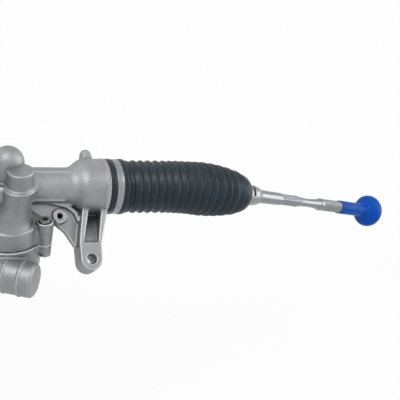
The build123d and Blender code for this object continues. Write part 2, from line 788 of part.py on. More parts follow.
with BuildPart() as rack_housing_left:
    mounting_lug(-1)
    bell_end(-1)
    turn(drive, [
        (drive_foot, 0), (drive_foot, 13), (drive_foot + 4, 16), (-16, 17), (-12, 21), (10, 22),
        (16, drive_flange_r),
        (drive_split, drive_flange_r), (drive_split, 0),
    ])
    bar(drive_guide, guide_boss_r, 0, guide_plug_end)
    for angle in drive_screw_angles:
        bar(drive_boss(angle), 7.0, drive_split - 16, drive_split)
    brace = [(-lug_x + 10, 20), (-lug_x + 14, 60), (-lug_x + 46, 66), (-lug_x + 40, 56), (-lug_x + 14, 14)]
    prism(Plane.XY, brace, 4, 10)
    rack_passage(-1)
    bar(drive, pinion_chamber_r, -15, drive_split + 1, Mode.SUBTRACT)
    bar(drive, needle_r + seat_gap, drive_needle_start - 1, -14, Mode.SUBTRACT)
    bar(drive, drive_bearing_r + seat_gap, drive_bearing_start, drive_split + 1, Mode.SUBTRACT)
    bar(drive_guide, guide_r + run_gap, 0, guide_plug_end + 1, Mode.SUBTRACT)
    for angle in drive_screw_angles:
        screw_hole_r = drive_screw_size / 2 + seat_gap
        bar(drive_boss(angle), screw_hole_r, drive_split - 13, drive_split + 1, Mode.SUBTRACT)
    bar(moved(Plane.XY, -lug_x, 0), lug_hole_r, -1, lug_height + 1, Mode.SUBTRACT)
save(rack_housing_left, "rack_housing_left")

with BuildPart() as sensor_cover:
    turn(drive, [
        (drive_split, 0), (drive_split, drive_flange_r), (drive_split + 7, drive_flange_r),
        (drive_split + 9, sensor_outer),
        (top_bearing_start - 4, sensor_outer), (top_bearing_start + 2, 19), (sensor_top, 18),
        (sensor_top, 0),
    ])
    for angle in drive_screw_angles:
        bar(drive_boss(angle), 7.0, drive_split, drive_split + 7)
    bar(drive, sensor_bore, drive_split - 1, top_bearing_start - 5, Mode.SUBTRACT)
    bar(drive, 14.0 + seat_gap, top_bearing_start, sensor_top + 1, Mode.SUBTRACT)
    bar(drive, input_r + 2, drive_split - 1, sensor_top + 1, Mode.SUBTRACT)
    for angle in drive_screw_angles:
        clearance_r = drive_screw_size / 2 + 0.3
        head_recess_r = drive_screw_size * 0.75 + 0.5
        bar(drive_boss(angle), clearance_r, drive_split - 1, drive_split + 8, Mode.SUBTRACT)
        bar(drive_boss(angle), head_recess_r, drive_split + 7, drive_split + 30, Mode.SUBTRACT)
save(sensor_cover, "sensor_cover")

with BuildPart() as drive_screws:
    for angle in drive_screw_angles:
        cap_screw(drive_boss(angle), drive_screw_size, 17.0, drive_split + 7 + drive_screw_size)
save(drive_screws, "drive_screws")

with BuildPart() as drive_pinion:
    drive_phase = pi / 2
    pinion_teeth_section(drive, -half_face, half_face, drive_phase)
    bar(drive, journal_r, drive_needle_start, -half_face)
    bar(drive, input_r, half_face, drive_split + 4)
    bar(drive, torsion_r + torsion_gap, 8, drive_split + 5, Mode.SUBTRACT)
save(drive_pinion, "drive_pinion")

with BuildPart() as torsion_bar:
    bar(drive, torsion_r, 8.1, spline_start - 8)
save(torsion_bar, "torsion_bar")

with BuildPart() as input_shaft:
    bar(drive, input_r, drive_split + 4.3, spline_start)
    bar(drive, spline_r, spline_start, input_end)
    chamfer(input_shaft.edges().filter_by(GeomType.CIRCLE).sort_by(Axis(drive.origin, drive.z_dir))[-1], 1.0)
    bar(drive, torsion_r + torsion_gap, drive_split, spline_start - 7.9, Mode.SUBTRACT)
save(input_shaft, "input_shaft")

with BuildPart() as sensor_rotor:
    ring(drive, 14.0, input_r + seat_gap, 42, 54)
save(sensor_rotor, "sensor_rotor")

with BuildPart() as sensor_stator:
    ring(drive, sensor_bore - seat_gap, 14.8, 40, 56)
save(sensor_stator, "sensor_stator")

with BuildPart() as drive_needle_bearing:
    ring(drive, needle_r, needle_r - 2, drive_needle_start, drive_needle_start + needle_length)
    drive_needle_end = drive_needle_start + needle_length
    ring(drive, needle_r - 2 - seat_gap, journal_r + run_gap, drive_needle_start + 1, drive_needle_end - 1)
save(drive_needle_bearing, "drive_needle_bearing")

with BuildPart() as drive_ball_bearing:
    bearing(drive, input_r + run_gap, drive_bearing_r, drive_bearing_start, drive_bearing_width)
save(drive_ball_bearing, "drive_ball_bearing")

with BuildPart() as input_bearing:
    bearing(drive, input_r + run_gap, 14.0, top_bearing_start, top_bearing_width)
save(input_bearing, "input_bearing")

with BuildPart() as input_seal:
    turn(drive, [
        (sensor_top - 7, 14.0), (sensor_top - 0.5, 14.0), (sensor_top - 0.5, input_r + 1.5),
        (sensor_top - 2, input_r + soft_gap),
        (sensor_top - 3.5, input_r + 1.5), (sensor_top - 4, 12.5), (sensor_top - 7, 12.5),
    ])
save(input_seal, "input_seal")

# ---------------------------------------------------------------- electrical sockets


def build_socket(plane, width, height, depth, base, pin_rows):
    """Plastic socket: base block, open shroud and its contact pins, mouth along the normal."""
    with BuildSketch(plane) as foot:
        RectangleRounded(width + 6, height + 6, 3)
    extrude(foot.sketch, amount=base)
    with BuildSketch(plane.offset(base)) as shroud:
        RectangleRounded(width, height, 3)
        RectangleRounded(width - 2 * socket_wall, height - 2 * socket_wall, 2, mode=Mode.SUBTRACT)
    extrude(shroud.sketch, amount=depth)
    with BuildSketch(plane.offset(base)) as pins:
        with GridLocations(4.0, 4.0, int((width - 10) / 4.0), pin_rows):
            Rectangle(1.0, 1.0)
    extrude(pins.sketch, amount=depth * 0.5)


sensor_socket_plane = Plane(
    origin=drive.from_local_coords((0, 0, 53)) + Vector(-sensor_outer - 1.5, 0, 0),
    x_dir=(0, 1, 0), z_dir=(-1, 0, 0),
)
with BuildPart() as sensor_socket:
    build_socket(sensor_socket_plane, 26.0, 16.0, 14.0, 4.0, 1)
    bar(drive, sensor_outer + seat_gap, drive_split, sensor_top, Mode.SUBTRACT)
    bar(drive, drive_flange_r + 9.5, drive_split - 20, drive_split + 9.1, Mode.SUBTRACT)
save(sensor_socket, "sensor_socket")


# the end cover's socket opens toward +Y
motor_socket_plane = Plane(
    origin=worm.from_local_coords((0, 0, motor_end - cover_length / 2)) + Vector(0, motor_r + 2, 0),
    x_dir=(1, 0, 0), z_dir=(0, 1, 0),
)
with BuildPart() as motor_socket:
    build_socket(motor_socket_plane, 34.0, 18.0, 16.0, 12.0, 2)
    with BuildSketch(worm.offset(motor_end - cover_length - 1)) as cover_outline:
        RectangleRounded(2 * cover_half + 2 * seat_gap, 2 * cover_half + 2 * seat_gap, 14)
    extrude(cover_outline.sketch, amount=cover_length + 2, mode=Mode.SUBTRACT)
save(motor_socket, "motor_socket")

# ---------------------------------------------------------------- inner ball joints
seat_outer_r = ball_r + run_gap + ball_seat_wall


def build_ball_can(side):
    """Joint housing: threaded stud toward the rack and a lipped socket for the ball."""
    can = Plane(origin=(side * ball_x, rack_y, rack_z), x_dir=(0, 1, 0), z_dir=(side, 0, 0))
    turn(can, [
        (-ball_can_back, 0), (-ball_can_back, ball_can_r - 1), (-ball_can_back + 1, ball_can_r),
        (lip_station - 4, ball_can_r), (ball_can_front, ball_can_r - 2.5), (ball_can_front, 0),
    ])
    bar(can, stud_r, -ball_can_back - stud_length, -ball_can_back)
    with Locations(can):
        Sphere(seat_outer_r + run_gap, mode=Mode.SUBTRACT)
    turn(can, [
        (lip_station, seat_outer_r), (lip_station, lip_r), (ball_can_front, mouth_r),
        (ball_can_front, seat_outer_r),
    ])
    turn(can, [
        (lip_station - 0.1, 0), (lip_station - 0.1, lip_r), (ball_can_front, mouth_r),
        (ball_can_front + 1, mouth_r),
        (ball_can_front + 1, 0),
    ], Mode.SUBTRACT)
    with BuildSketch(can.offset(-ball_can_back + 2)) as flats:
        Rectangle(2 * ball_can_r, 2 * ball_can_r)
        Rectangle(2 * ball_can_r, 2 * ball_can_r - 3, mode=Mode.SUBTRACT)
    extrude(flats.sketch, amount=9, mode=Mode.SUBTRACT)


with BuildPart() as ball_housing_right:
    build_ball_can(1)
save(ball_housing_right, "ball_housing_right")
with BuildPart() as ball_housing_left:
    build_ball_can(-1)
save(ball_housing_left, "ball_housing_left")

right_rod = rod_plane(1)
with BuildPart() as ball_seat_right:
    with Locations(right_rod):
        Sphere(seat_outer_r)
        Sphere(ball_r + run_gap, mode=Mode.SUBTRACT)
    split(bisect_by=right_rod.offset(seat_edge), keep=Keep.BOTTOM)
    bar(right_rod, 3.0, -seat_outer_r - 1, -ball_r + 2, Mode.SUBTRACT)
save(ball_seat_right, "ball_seat_right")

# ---------------------------------------------------------------- tie rod
with BuildPart() as tie_rod_right:
    with Locations(right_rod):
        Sphere(ball_r)
    turn(right_rod, [
        (9, 0), (9, rod_neck_r), (30, rod_neck_r), (52, rod_body_r), (rod_body_end, rod_body_r),
        (hex_start, hex_flats / 2), (hex_end, hex_flats / 2 - 0.4), (waist_start, waist_r),
        (waist_end, waist_r),
        (waist_end + 4, 6.2), (waist_end + 5, thread_r + 0.2), (waist_end + 9, thread_r + 0.2),
        (thread_start, thread_r),
        (covered_start, thread_r), (covered_start, covered_r),
        (rod_end - 2, covered_r), (rod_end, covered_r - 1.5), (rod_end, 0),
    ])
    with BuildSketch(right_rod.offset(hex_start)) as hexagon:
        RegularPolygon(hex_flats / 2, 6, major_radius=False)
    extrude(hexagon.sketch, amount=hex_end - hex_start)
save(tie_rod_right, "tie_rod_right")

# ---------------------------------------------------------------- bellows


def boot_centre(t):
    """Point and direction of the bellows' bent centre line, for t from 0 to 1."""
    p0 = Vector(bell_x + bend_start, rack_y, rack_z)
    p3 = right_rod.origin + right_rod.z_dir * small_start
    reach = 36.0
    p1 = p0 + Vector(reach, 0, 0)
    p2 = p3 - right_rod.z_dir * reach
    u = 1 - t
    point = p0 * u**3 + p1 * (3 * u * u * t) + p2 * (3 * u * t * t) + p3 * t**3
    slope = (p1 - p0) * (3 * u * u) + (p2 - p1) * (6 * u * t) + (p3 - p2) * (3 * t * t)
    return Plane(origin=point, x_dir=(0, 1, 0), z_dir=slope.normalized())


def tube_sections(stations):
    """Circles given as (plane, radius), as the sections of a ruled tube."""
    sections = []
    for plane, radius in stations:
        with BuildSketch(plane, mode=Mode.PRIVATE) as section:
            Circle(radius)
        sections.append(section.sketch)
    return sections


outer = [(rack.offset(bell_x + boot_start_ring - 2), groove_r - 2)]
for k in range(straight_rings - 2):
    x = bell_x + first_crest + k * ring_pitch
    outer.append((rack.offset(x - ring_pitch / 2), crest_r - valley_depth))
    outer.append((rack.offset(x), crest_r))
outer.append((rack.offset(bell_x + bend_start), crest_r - valley_depth))
rings = len(bent_radii)
for k, radius in enumerate(bent_radii):
    outer.append((boot_centre((k + 0.5) / rings), radius))
    outer.append((boot_centre((k + 1) / rings), radius - valley_depth if k + 1 < rings else small_cuff_r))
inner = [
    (rack.offset(bell_x + boot_start_ring - 2), 22.5),
    (rack.offset(bell_x + bend_start), crest_r - valley_depth - boot_wall),
    (boot_centre(0.25), crest_r - valley_depth - boot_wall), (boot_centre(0.5), 20.5),
    (boot_centre(0.8), 16.0),
    (boot_centre(1.0), rod_body_r + 0.15),
]

with BuildPart() as boot_right:
    loft(tube_sections(outer), ruled=True)
    turn(rack, [
        (bell_x + 0.2, boot_seat_r - 1), (bell_x + 0.2, cuff_r), (bell_x + band_start, cuff_r),
        (bell_x + band_start, groove_r),
        (bell_x + band_end, groove_r), (bell_x + band_end, cuff_r), (bell_x + cuff_end, cuff_r),
        (bell_x + cuff_end + 2, groove_r - 1.5), (bell_x + boot_start_ring, groove_r - 2.5),
        (bell_x + boot_start_ring, boot_seat_r - 4),
    ])
    bar(right_rod, small_cuff_r, small_start - 0.5, small_end)
    bar(rack, boot_seat_r + 0.1, bell_x - 1, boot_seat_x + 0.3, Mode.SUBTRACT)
    bar(rack, 22.5, bell_x, bell_x + boot_start_ring, Mode.SUBTRACT)
    loft(tube_sections(inner), ruled=True, mode=Mode.SUBTRACT)
    bar(right_rod, rod_body_r + 0.15, small_start - 3, small_end + 1, Mode.SUBTRACT)
save(boot_right, "boot_right")

with BuildPart() as boot_band_right:
    ring(rack, band_r, groove_r + 0.05, bell_x + band_start + 0.1, bell_x + band_end - 0.1)
save(boot_band_right, "boot_band_right")

with BuildPart() as boot_clip_right:
    ring(right_rod, small_cuff_r + 1.0, small_cuff_r + 0.1, small_start + 6, small_end - 1)
save(boot_clip_right, "boot_clip_right")

# ---------------------------------------------------------------- thread protector
cap_floor = rod_end + 1.0

with BuildPart() as thread_cap_right:
    turn(right_rod, [
        (cap_start, covered_r + run_gap), (cap_start, cap_tube_r), (332, cap_tube_r), (333.5, 9.5),
        (334, 12), (332, 16),
        (328.5, dish_r - 0.6), (329.3, dish_r), (336, dish_r - 0.6), (341.5, 16.5), (341.7, 14.9),
        (336.8, 16.8),
        (335.2, 16.4), (336.2, 12), (336.2, 0), (cap_floor, 0), (cap_floor, covered_r + run_gap),
    ])
save(thread_cap_right, "thread_cap_right")

# ---------------------------------------------------------------- left-hand twins
with BuildPart() as ball_seat_left:
    mirror(ball_seat_right.part, about=Plane.YZ)
save(ball_seat_left, "ball_seat_left")
with BuildPart() as tie_rod_left:
    mirror(tie_rod_right.part, about=Plane.YZ)
save(tie_rod_left, "tie_rod_left")
with BuildPart() as boot_left:
    mirror(boot_right.part, about=Plane.YZ)
save(boot_left, "boot_left")
with BuildPart() as boot_band_left:
    mirror(boot_band_right.part, about=Plane.YZ)
save(boot_band_left, "boot_band_left")
with BuildPart() as boot_clip_left:
    mirror(boot_clip_right.part, about=Plane.YZ)
save(boot_clip_left, "boot_clip_left")
with BuildPart() as thread_cap_left:
    mirror(thread_cap_right.part, about=Plane.YZ)
save(thread_cap_left, "thread_cap_left")
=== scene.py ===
# %% [markdown]
# # An electric steering rack, dressed for its picture
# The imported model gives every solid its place. This lesson keeps those places, gives each
# solid a real finish, and remakes the pieces whose shape a plain solid can't show: the
# bellows, the threads, the clips and the soft edges of the castings.

# %% Load the frame
import json
import math
import bmesh
import bpy
import numpy as np
from mathutils import Matrix, Vector


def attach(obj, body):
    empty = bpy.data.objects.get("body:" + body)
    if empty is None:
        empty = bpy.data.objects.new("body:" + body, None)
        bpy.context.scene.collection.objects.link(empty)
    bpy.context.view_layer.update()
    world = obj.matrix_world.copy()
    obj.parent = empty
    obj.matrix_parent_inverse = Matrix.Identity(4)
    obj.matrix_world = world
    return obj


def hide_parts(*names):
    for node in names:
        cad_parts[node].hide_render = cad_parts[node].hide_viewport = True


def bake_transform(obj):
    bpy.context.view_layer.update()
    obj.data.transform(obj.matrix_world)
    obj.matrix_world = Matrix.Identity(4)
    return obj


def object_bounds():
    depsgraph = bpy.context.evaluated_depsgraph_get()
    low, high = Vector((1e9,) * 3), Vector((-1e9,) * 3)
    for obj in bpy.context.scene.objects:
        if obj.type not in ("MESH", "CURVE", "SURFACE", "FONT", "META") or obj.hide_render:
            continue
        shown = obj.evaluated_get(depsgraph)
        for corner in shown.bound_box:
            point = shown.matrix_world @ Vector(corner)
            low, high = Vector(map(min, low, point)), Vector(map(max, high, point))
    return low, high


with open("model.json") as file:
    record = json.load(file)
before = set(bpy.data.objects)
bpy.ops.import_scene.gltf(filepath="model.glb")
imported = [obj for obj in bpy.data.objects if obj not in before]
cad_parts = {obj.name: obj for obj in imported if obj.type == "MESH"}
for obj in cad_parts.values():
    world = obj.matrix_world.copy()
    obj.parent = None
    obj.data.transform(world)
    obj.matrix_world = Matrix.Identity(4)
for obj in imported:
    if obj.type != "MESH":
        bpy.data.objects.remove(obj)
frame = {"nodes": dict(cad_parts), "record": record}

cad_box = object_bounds()
nodes = frame["nodes"]
print("nodes", len(nodes), "box", [tuple(round(c, 3) for c in corner) for corner in cad_box])

# %% [markdown]
# ## Sizes
# The drawing is in millimetres and Blender works in metres, so every length below is
# written in millimetres and turned into metres in one place, when a mesh is made.
# The names repeat the driving sizes of the solids.

# %% Driving sizes in millimetres
MM = 0.001
RACK_Y, RACK_Z = 80.0, 13.0
BELL_X = 282.4            # end face of the bell
LUG_X = 260.0             # mounting bolt
BALL_X = BELL_X + 98.0    # centre of the inner ball joint
DROOP, LEAD = math.radians(25.0), math.radians(1.85)    # the tie rod points down and forward
ROD = np.array([math.cos(DROOP) * math.cos(LEAD), math.sin(LEAD),
                -math.sin(DROOP) * math.cos(LEAD)])
BALL = np.array([BALL_X, RACK_Y, RACK_Z])
RACK = np.array([1.0, 0.0, 0.0])
BELL = np.array([BELL_X, RACK_Y, RACK_Z])
print("tie rod direction", ROD.round(3))

# %% [markdown]
# ## Camera
# A long lens well away from the rack keeps the rings of the bellows nearly round. The three
# directions of the camera are worked out from how far it is turned and how far it looks down.

# %% Camera
TURN, TILT = math.radians(23.5), math.radians(15.7)
LOOK_RIGHT = Vector((math.cos(TURN), -math.sin(TURN) * math.sin(TILT),
                     math.sin(TURN) * math.cos(TILT)))
LOOK_UP = Vector((0.0, math.cos(TILT), math.sin(TILT)))
LOOK_BACK = LOOK_RIGHT.cross(LOOK_UP)
STAND = Vector((-232.36, -323.47, 1395.94)) * MM        # the camera's place

camera_data = bpy.data.cameras.new("camera")
camera_data.lens, camera_data.sensor_width = 130.5, 36.0
camera_data.clip_start, camera_data.clip_end = 0.05, 50.0
camera = bpy.data.objects.new("camera", camera_data)
bpy.context.scene.collection.objects.link(camera)
placed = Matrix((LOOK_RIGHT, LOOK_UP, LOOK_BACK)).transposed().to_4x4()
placed.translation = STAND
camera.matrix_world = placed
bpy.context.scene.camera = camera
print("camera looks along", tuple(round(-c, 3) for c in LOOK_BACK))

# %% [markdown]
# ## Colours and shader nodes
# Colours are written as the sRGB hex values that a painter or a screen uses, and one
# function makes them linear, which is what the shader adds up. Another small function adds
# any node with its settings and links, so that each finish reads as a list.

# %% Colour and node helpers
def linear(code):
    """sRGB hex to linear RGBA: a channel c is c/12.92 up to 0.04045, else ((c+0.055)/1.055)^2.4."""
    channels = [int(code[i:i + 2], 16) / 255 for i in (1, 3, 5)]
    lit = [c / 12.92 if c <= 0.04045 else ((c + 0.055) / 1.055) ** 2.4 for c in channels]
    return (*lit, 1.0)


def add(tree, kind, inputs=None, **settings):
    """Adds one node. Settings are its properties; inputs are values, or sockets to link from.
    The inputs 6 and 7 of a Mix node are its two colours."""
    made = tree.nodes.new(kind)
    for name, value in settings.items():
        setattr(made, name, value)
    for name, value in (inputs or {}).items():
        if isinstance(value, bpy.types.NodeSocket):
            tree.links.new(value, made.inputs[name])
        else:
            made.inputs[name].default_value = value
    return made


def per(millimetres):
    """Texture scale whose features repeat about every so many millimetres of Object space."""
    return 1.0 / (millimetres * MM)


def blank(name):
    """A material with an empty node tree, and that tree."""
    material = bpy.data.materials.new(name)
    material.use_nodes = True
    material.node_tree.nodes.clear()
    return material, material.node_tree


def ramp(tree, factor, stops):
    """A colour ramp between two (position, hex) stops."""
    made = add(tree, "ShaderNodeValToRGB", {"Fac": factor})
    for element, (position, code) in zip(made.color_ramp.elements, stops):
        element.position, element.color = position, linear(code)
    return made.outputs["Color"]


print("helpers ready; mid grey is", round(linear("#808080")[0], 3))

# %% [markdown]
# ## Studio
# A pale floor lies below the lowest point that the swinging rods reach, and keeps the shadow.
# The background is white to the lens and to reflections, while the light that falls on dull
# surfaces is set apart, so colours come out as they are written.

# %% Floor, world and lamps
FLOOR_HALF = 30.0         # half the width of the floor, in metres
FLOOR_DROP = 85.0         # room under the solids for the rods when they hang lowest
FLOOR_GLOW = 0.94         # share of the floor that shines by itself in a clear view
SKY_ON_DULL = 0.48        # strength of the sky on dull surfaces; a clear view has it at 1


def clear_view(tree):
    """Socket that is 1 for rays from the lens, off gloss or through glass, and 0 for the others."""
    seen = add(tree, "ShaderNodeLightPath")
    either = add(tree, "ShaderNodeMath", {0: seen.outputs["Is Camera Ray"],
                                          1: seen.outputs["Is Glossy Ray"]}, operation="MAXIMUM")
    any_of = add(tree, "ShaderNodeMath", {0: either.outputs[0],
                                          1: seen.outputs["Is Transmission Ray"]}, operation="MAXIMUM")
    return any_of.outputs[0]


floor_z = cad_box[0].z - FLOOR_DROP * MM
floor_mesh = bpy.data.meshes.new("studio_floor")
floor_mesh.from_pydata([(x * FLOOR_HALF, y * FLOOR_HALF, floor_z)
                        for x, y in ((-1, -1), (1, -1), (1, 1), (-1, 1))], [], [(0, 1, 2, 3)])
floor = bpy.data.objects.new("studio_floor", floor_mesh)
bpy.context.scene.collection.objects.link(floor)

paper, tree = blank("studio_paper")
share = add(tree, "ShaderNodeMath", {0: clear_view(tree), 1: FLOOR_GLOW}, operation="MULTIPLY")
dull = add(tree, "ShaderNodeBsdfDiffuse", {"Color": linear("#FAFAFA")})
glow = add(tree, "ShaderNodeEmission", {"Color": linear("#FFFFFF"), "Strength": 1.0})
mixed = add(tree, "ShaderNodeMixShader", {0: share.outputs[0], 1: dull.outputs[0], 2: glow.outputs[0]})
add(tree, "ShaderNodeOutputMaterial", {"Surface": mixed.outputs[0]})
floor_mesh.materials.append(paper)

world = bpy.data.worlds.new("studio_world")
world.use_nodes = True
world.node_tree.nodes.clear()
tree = world.node_tree
level = add(tree, "ShaderNodeMapRange", {"Value": clear_view(tree), "To Min": SKY_ON_DULL,
                                         "To Max": 1.0})
sky = add(tree, "ShaderNodeBackground", {"Color": linear("#FFFFFF"), "Strength": level.outputs[0]})
add(tree, "ShaderNodeOutputWorld", {"Surface": sky.outputs[0]})
bpy.context.scene.world = world
bpy.context.scene.view_settings.view_transform = "Standard"

MIDDLE = Vector((0.15, 0.04, 0.0))     # what the lamps face, in metres


def softbox(name, toward, distance, size, power):
    """A square area lamp that faces MIDDLE: toward it stands on (right, up, back) of the camera,
    its distance and size are in metres and its power in watts."""
    lamp_data = bpy.data.lights.new(name, "AREA")
    lamp_data.shape, lamp_data.size, lamp_data.energy = "SQUARE", size, power
    lamp = bpy.data.objects.new(name, lamp_data)
    bpy.context.scene.collection.objects.link(lamp)
    direction = (LOOK_RIGHT * toward[0] + LOOK_UP * toward[1] + LOOK_BACK * toward[2]).normalized()
    lamp.location = MIDDLE + direction * distance
    lamp.rotation_mode = "QUATERNION"
    lamp.rotation_quaternion = direction.to_track_quat("Z", "Y")
    return lamp


lamps = [softbox("key", (-0.25, 0.75, 1.0), 2.4, 0.9, 24.0),
         softbox("side", (1.0, 0.5, 0.35), 2.6, 0.7, 9.0),
         softbox("back", (-0.6, 1.0, -0.2), 2.6, 1.0, 8.0),
         softbox("strip", (0.96, 0.14, -0.16), 2.2, 1.3, 13.0)]
lamps[-1].visible_diffuse = False        # the strip is there for the metal to reflect
print("lamps", [(lamp.name, lamp.data.energy) for lamp in lamps])

# %% [markdown]
# ## Finishes
# Each finish starts from what the real one is and how its surface was made.

# %% [markdown]
# ### Die-cast aluminium, shot blasted
# The castings leave the die with a fine skin and are blasted, which gives a soft satin grey
# with a grain well under a millimetre and faint clouds. Convex edges carry a painted highlight and
# corners painted shade.

# %% Cast aluminium
CLOUD = 38.0              # clouds of tone, in millimetres
SHADE_REACH = 14.0            # how near another wall must stand for the painted shade in corners, in millimetres
BLAST_DEPTH = 0.6         # depth of the blasted grain's bump, in millimetres


def cast_metal(name, low, high, edge, grain=0.7, rough=(0.40, 0.55)):
    """Satin cast metal: clouds of tone, blasted grain as bump, a painted highlight that brightens
    edges where the mesh is convex, and painted shade that darkens the corners where other walls stand
    near."""
    material, tree = blank(name)
    where = add(tree, "ShaderNodeTexCoord").outputs["Object"]
    clouds = add(tree, "ShaderNodeTexNoise", {"Vector": where, "Scale": per(CLOUD), "Detail": 4.0,
                                              "Roughness": 0.6})
    specks = add(tree, "ShaderNodeTexNoise", {"Vector": where, "Scale": per(grain), "Detail": 2.0})
    tone = ramp(tree, clouds.outputs["Fac"], [(0.3, low), (0.7, high)])
    fleck = ramp(tree, specks.outputs["Fac"], [(0.35, "#C8C8C8"), (0.65, "#FFFFFF")])
    blasted = add(tree, "ShaderNodeMix", {"Factor": 0.5, 6: tone, 7: fleck},
                  data_type="RGBA", blend_type="MULTIPLY")
    # Painted highlight: the colour goes toward the bright edge colour where the mesh is convex.
    form = add(tree, "ShaderNodeNewGeometry")
    rim = add(tree, "ShaderNodeMapRange", {"Value": form.outputs["Pointiness"], "From Min": 0.515,
                                           "From Max": 0.57})
    edge_highlight = add(tree, "ShaderNodeMix", {"Factor": rim.outputs[0], 6: blasted.outputs[2],
                                       7: linear(edge)}, data_type="RGBA")
    # Painted shade: the colour goes toward a dark grey in corners and recesses where other walls stand
    # near.
    corner_occlusion = add(tree, "ShaderNodeAmbientOcclusion", {"Distance": SHADE_REACH * MM}, samples=8)
    painted_shade = add(tree, "ShaderNodeMapRange", {"Value": corner_occlusion.outputs["AO"], "From Min": 0.2,
                                             "From Max": 0.85, "To Min": 0.5, "To Max": 0.0})
    shaded_colour = add(tree, "ShaderNodeMix", {"Factor": painted_shade.outputs[0], 6: edge_highlight.outputs[2],
                                          7: linear("#3C3D3C")}, data_type="RGBA")
    dullness = add(tree, "ShaderNodeMapRange", {"Value": clouds.outputs["Fac"], "To Min": rough[0],
                                                "To Max": rough[1]})
    bump = add(tree, "ShaderNodeBump", {"Strength": 0.35, "Distance": BLAST_DEPTH * MM,
                                        "Height": specks.outputs["Fac"]})
    surface = add(tree, "ShaderNodeBsdfPrincipled", {
        "Base Color": shaded_colour.outputs[2], "Metallic": 0.85, "Roughness": dullness.outputs[0],
        "Normal": bump.outputs[0]})
    add(tree, "ShaderNodeOutputMaterial", {"Surface": surface.outputs[0]})
    return material


# The third colour of each cast finish is the painted highlight on its edges.
finishes = {
    "cast_aluminium": cast_metal("aluminium_die_cast_blasted", "#8E9091", "#A6A8A9", "#DCDEDE"),
    "tube_aluminium": cast_metal("aluminium_drawn_tube", "#909293", "#A2A4A5", "#C8CACB", 0.5,
                                 (0.34, 0.46)),
}
print("cast finishes", list(finishes))

# %% [markdown]
# ### Machined and plated steel
# Turned, ground and plated steel share one recipe: a metal whose roughness and tone vary
# in fine spots. Zinc plating is mottled softly, and ground races are brighter.

# %% Steel finishes
def steel(name, code, rough, mottle=3.0, depth=0.12, dark="#000000"):
    """Plated or machined metal: one tone that goes by depth toward the dark one, in spots of
    mottle millimetres."""
    material, tree = blank(name)
    where = add(tree, "ShaderNodeTexCoord").outputs["Object"]
    spots = add(tree, "ShaderNodeTexNoise", {"Vector": where, "Scale": per(mottle), "Detail": 3.0})
    amount = add(tree, "ShaderNodeMapRange", {"Value": spots.outputs["Fac"], "From Min": 0.3,
                                              "From Max": 0.7, "To Max": depth})
    shade = add(tree, "ShaderNodeMix", {"Factor": amount.outputs[0], 6: linear(code),
                                        7: linear(dark)}, data_type="RGBA")
    dullness = add(tree, "ShaderNodeMapRange", {"Value": spots.outputs["Fac"],
                                                "To Min": rough * 0.8, "To Max": rough * 1.2})
    surface = add(tree, "ShaderNodeBsdfPrincipled", {"Base Color": shade.outputs[2], "Metallic": 1.0,
                                                     "Roughness": dullness.outputs[0]})
    add(tree, "ShaderNodeOutputMaterial", {"Surface": surface.outputs[0]})
    return material


finishes.update({
    "zinc_steel": steel("steel_zinc_plated", "#8B8E90", 0.28),
    "thread_steel": steel("steel_rolled_thread", "#9A9E9F", 0.52, 1.5, 0.25),
    "band_steel": steel("steel_stainless_strip", "#94979A", 0.30, 9.0, 0.08),
    "screw_steel": steel("steel_zinc_screw", "#9C9E9B", 0.32, 2.0),
    "ground_steel": steel("steel_ground", "#A9ABAC", 0.24, 5.0, 0.08),
    "bearing_steel": steel("steel_bearing", "#B2B4B6", 0.2, 6.0, 0.05),
    "stator_iron": steel("iron_laminations", "#6E6C68", 0.5, 1.0, 0.3),
    "spring_steel": steel("steel_spring_oiled", "#55575A", 0.3, 2.0, 0.2),
    "guide_metal": steel("aluminium_turned", "#A3A5A6", 0.35, 3.0, 0.1),
})
print("steel finishes", len(finishes))

# %% [markdown]
# ### Rubber and plastics
# The bellows are blow-moulded from a thermoplastic elastomer: blue-black, half gloss, with a
# dusty bloom. The connectors are glass-filled nylon, and the thread cap is soft polyethylene.

# %% Moulded finishes
MOULD_DEPTH = 0.2         # depth of the mould grain's bump, in millimetres


def moulded(name, low, high, rough, patch=20.0, grain=0.5, ior=1.5):
    """Moulded plastic or rubber: two close tones in clouds of patch millimetres, and a fine
    surface grain of grain millimetres."""
    material, tree = blank(name)
    where = add(tree, "ShaderNodeTexCoord").outputs["Object"]
    clouds = add(tree, "ShaderNodeTexNoise", {"Vector": where, "Scale": per(patch), "Detail": 3.0})
    fine = add(tree, "ShaderNodeTexNoise", {"Vector": where, "Scale": per(grain), "Detail": 2.0})
    tone = ramp(tree, clouds.outputs["Fac"], [(0.3, low), (0.7, high)])
    dullness = add(tree, "ShaderNodeMapRange", {"Value": clouds.outputs["Fac"],
                                                "To Min": rough * 0.85, "To Max": rough * 1.15})
    bump = add(tree, "ShaderNodeBump", {"Strength": 0.3, "Distance": MOULD_DEPTH * MM,
                                        "Height": fine.outputs["Fac"]})
    surface = add(tree, "ShaderNodeBsdfPrincipled", {"Base Color": tone, "IOR": ior,
                                                     "Roughness": dullness.outputs[0],
                                                     "Normal": bump.outputs[0]})
    add(tree, "ShaderNodeOutputMaterial", {"Surface": surface.outputs[0]})
    return material


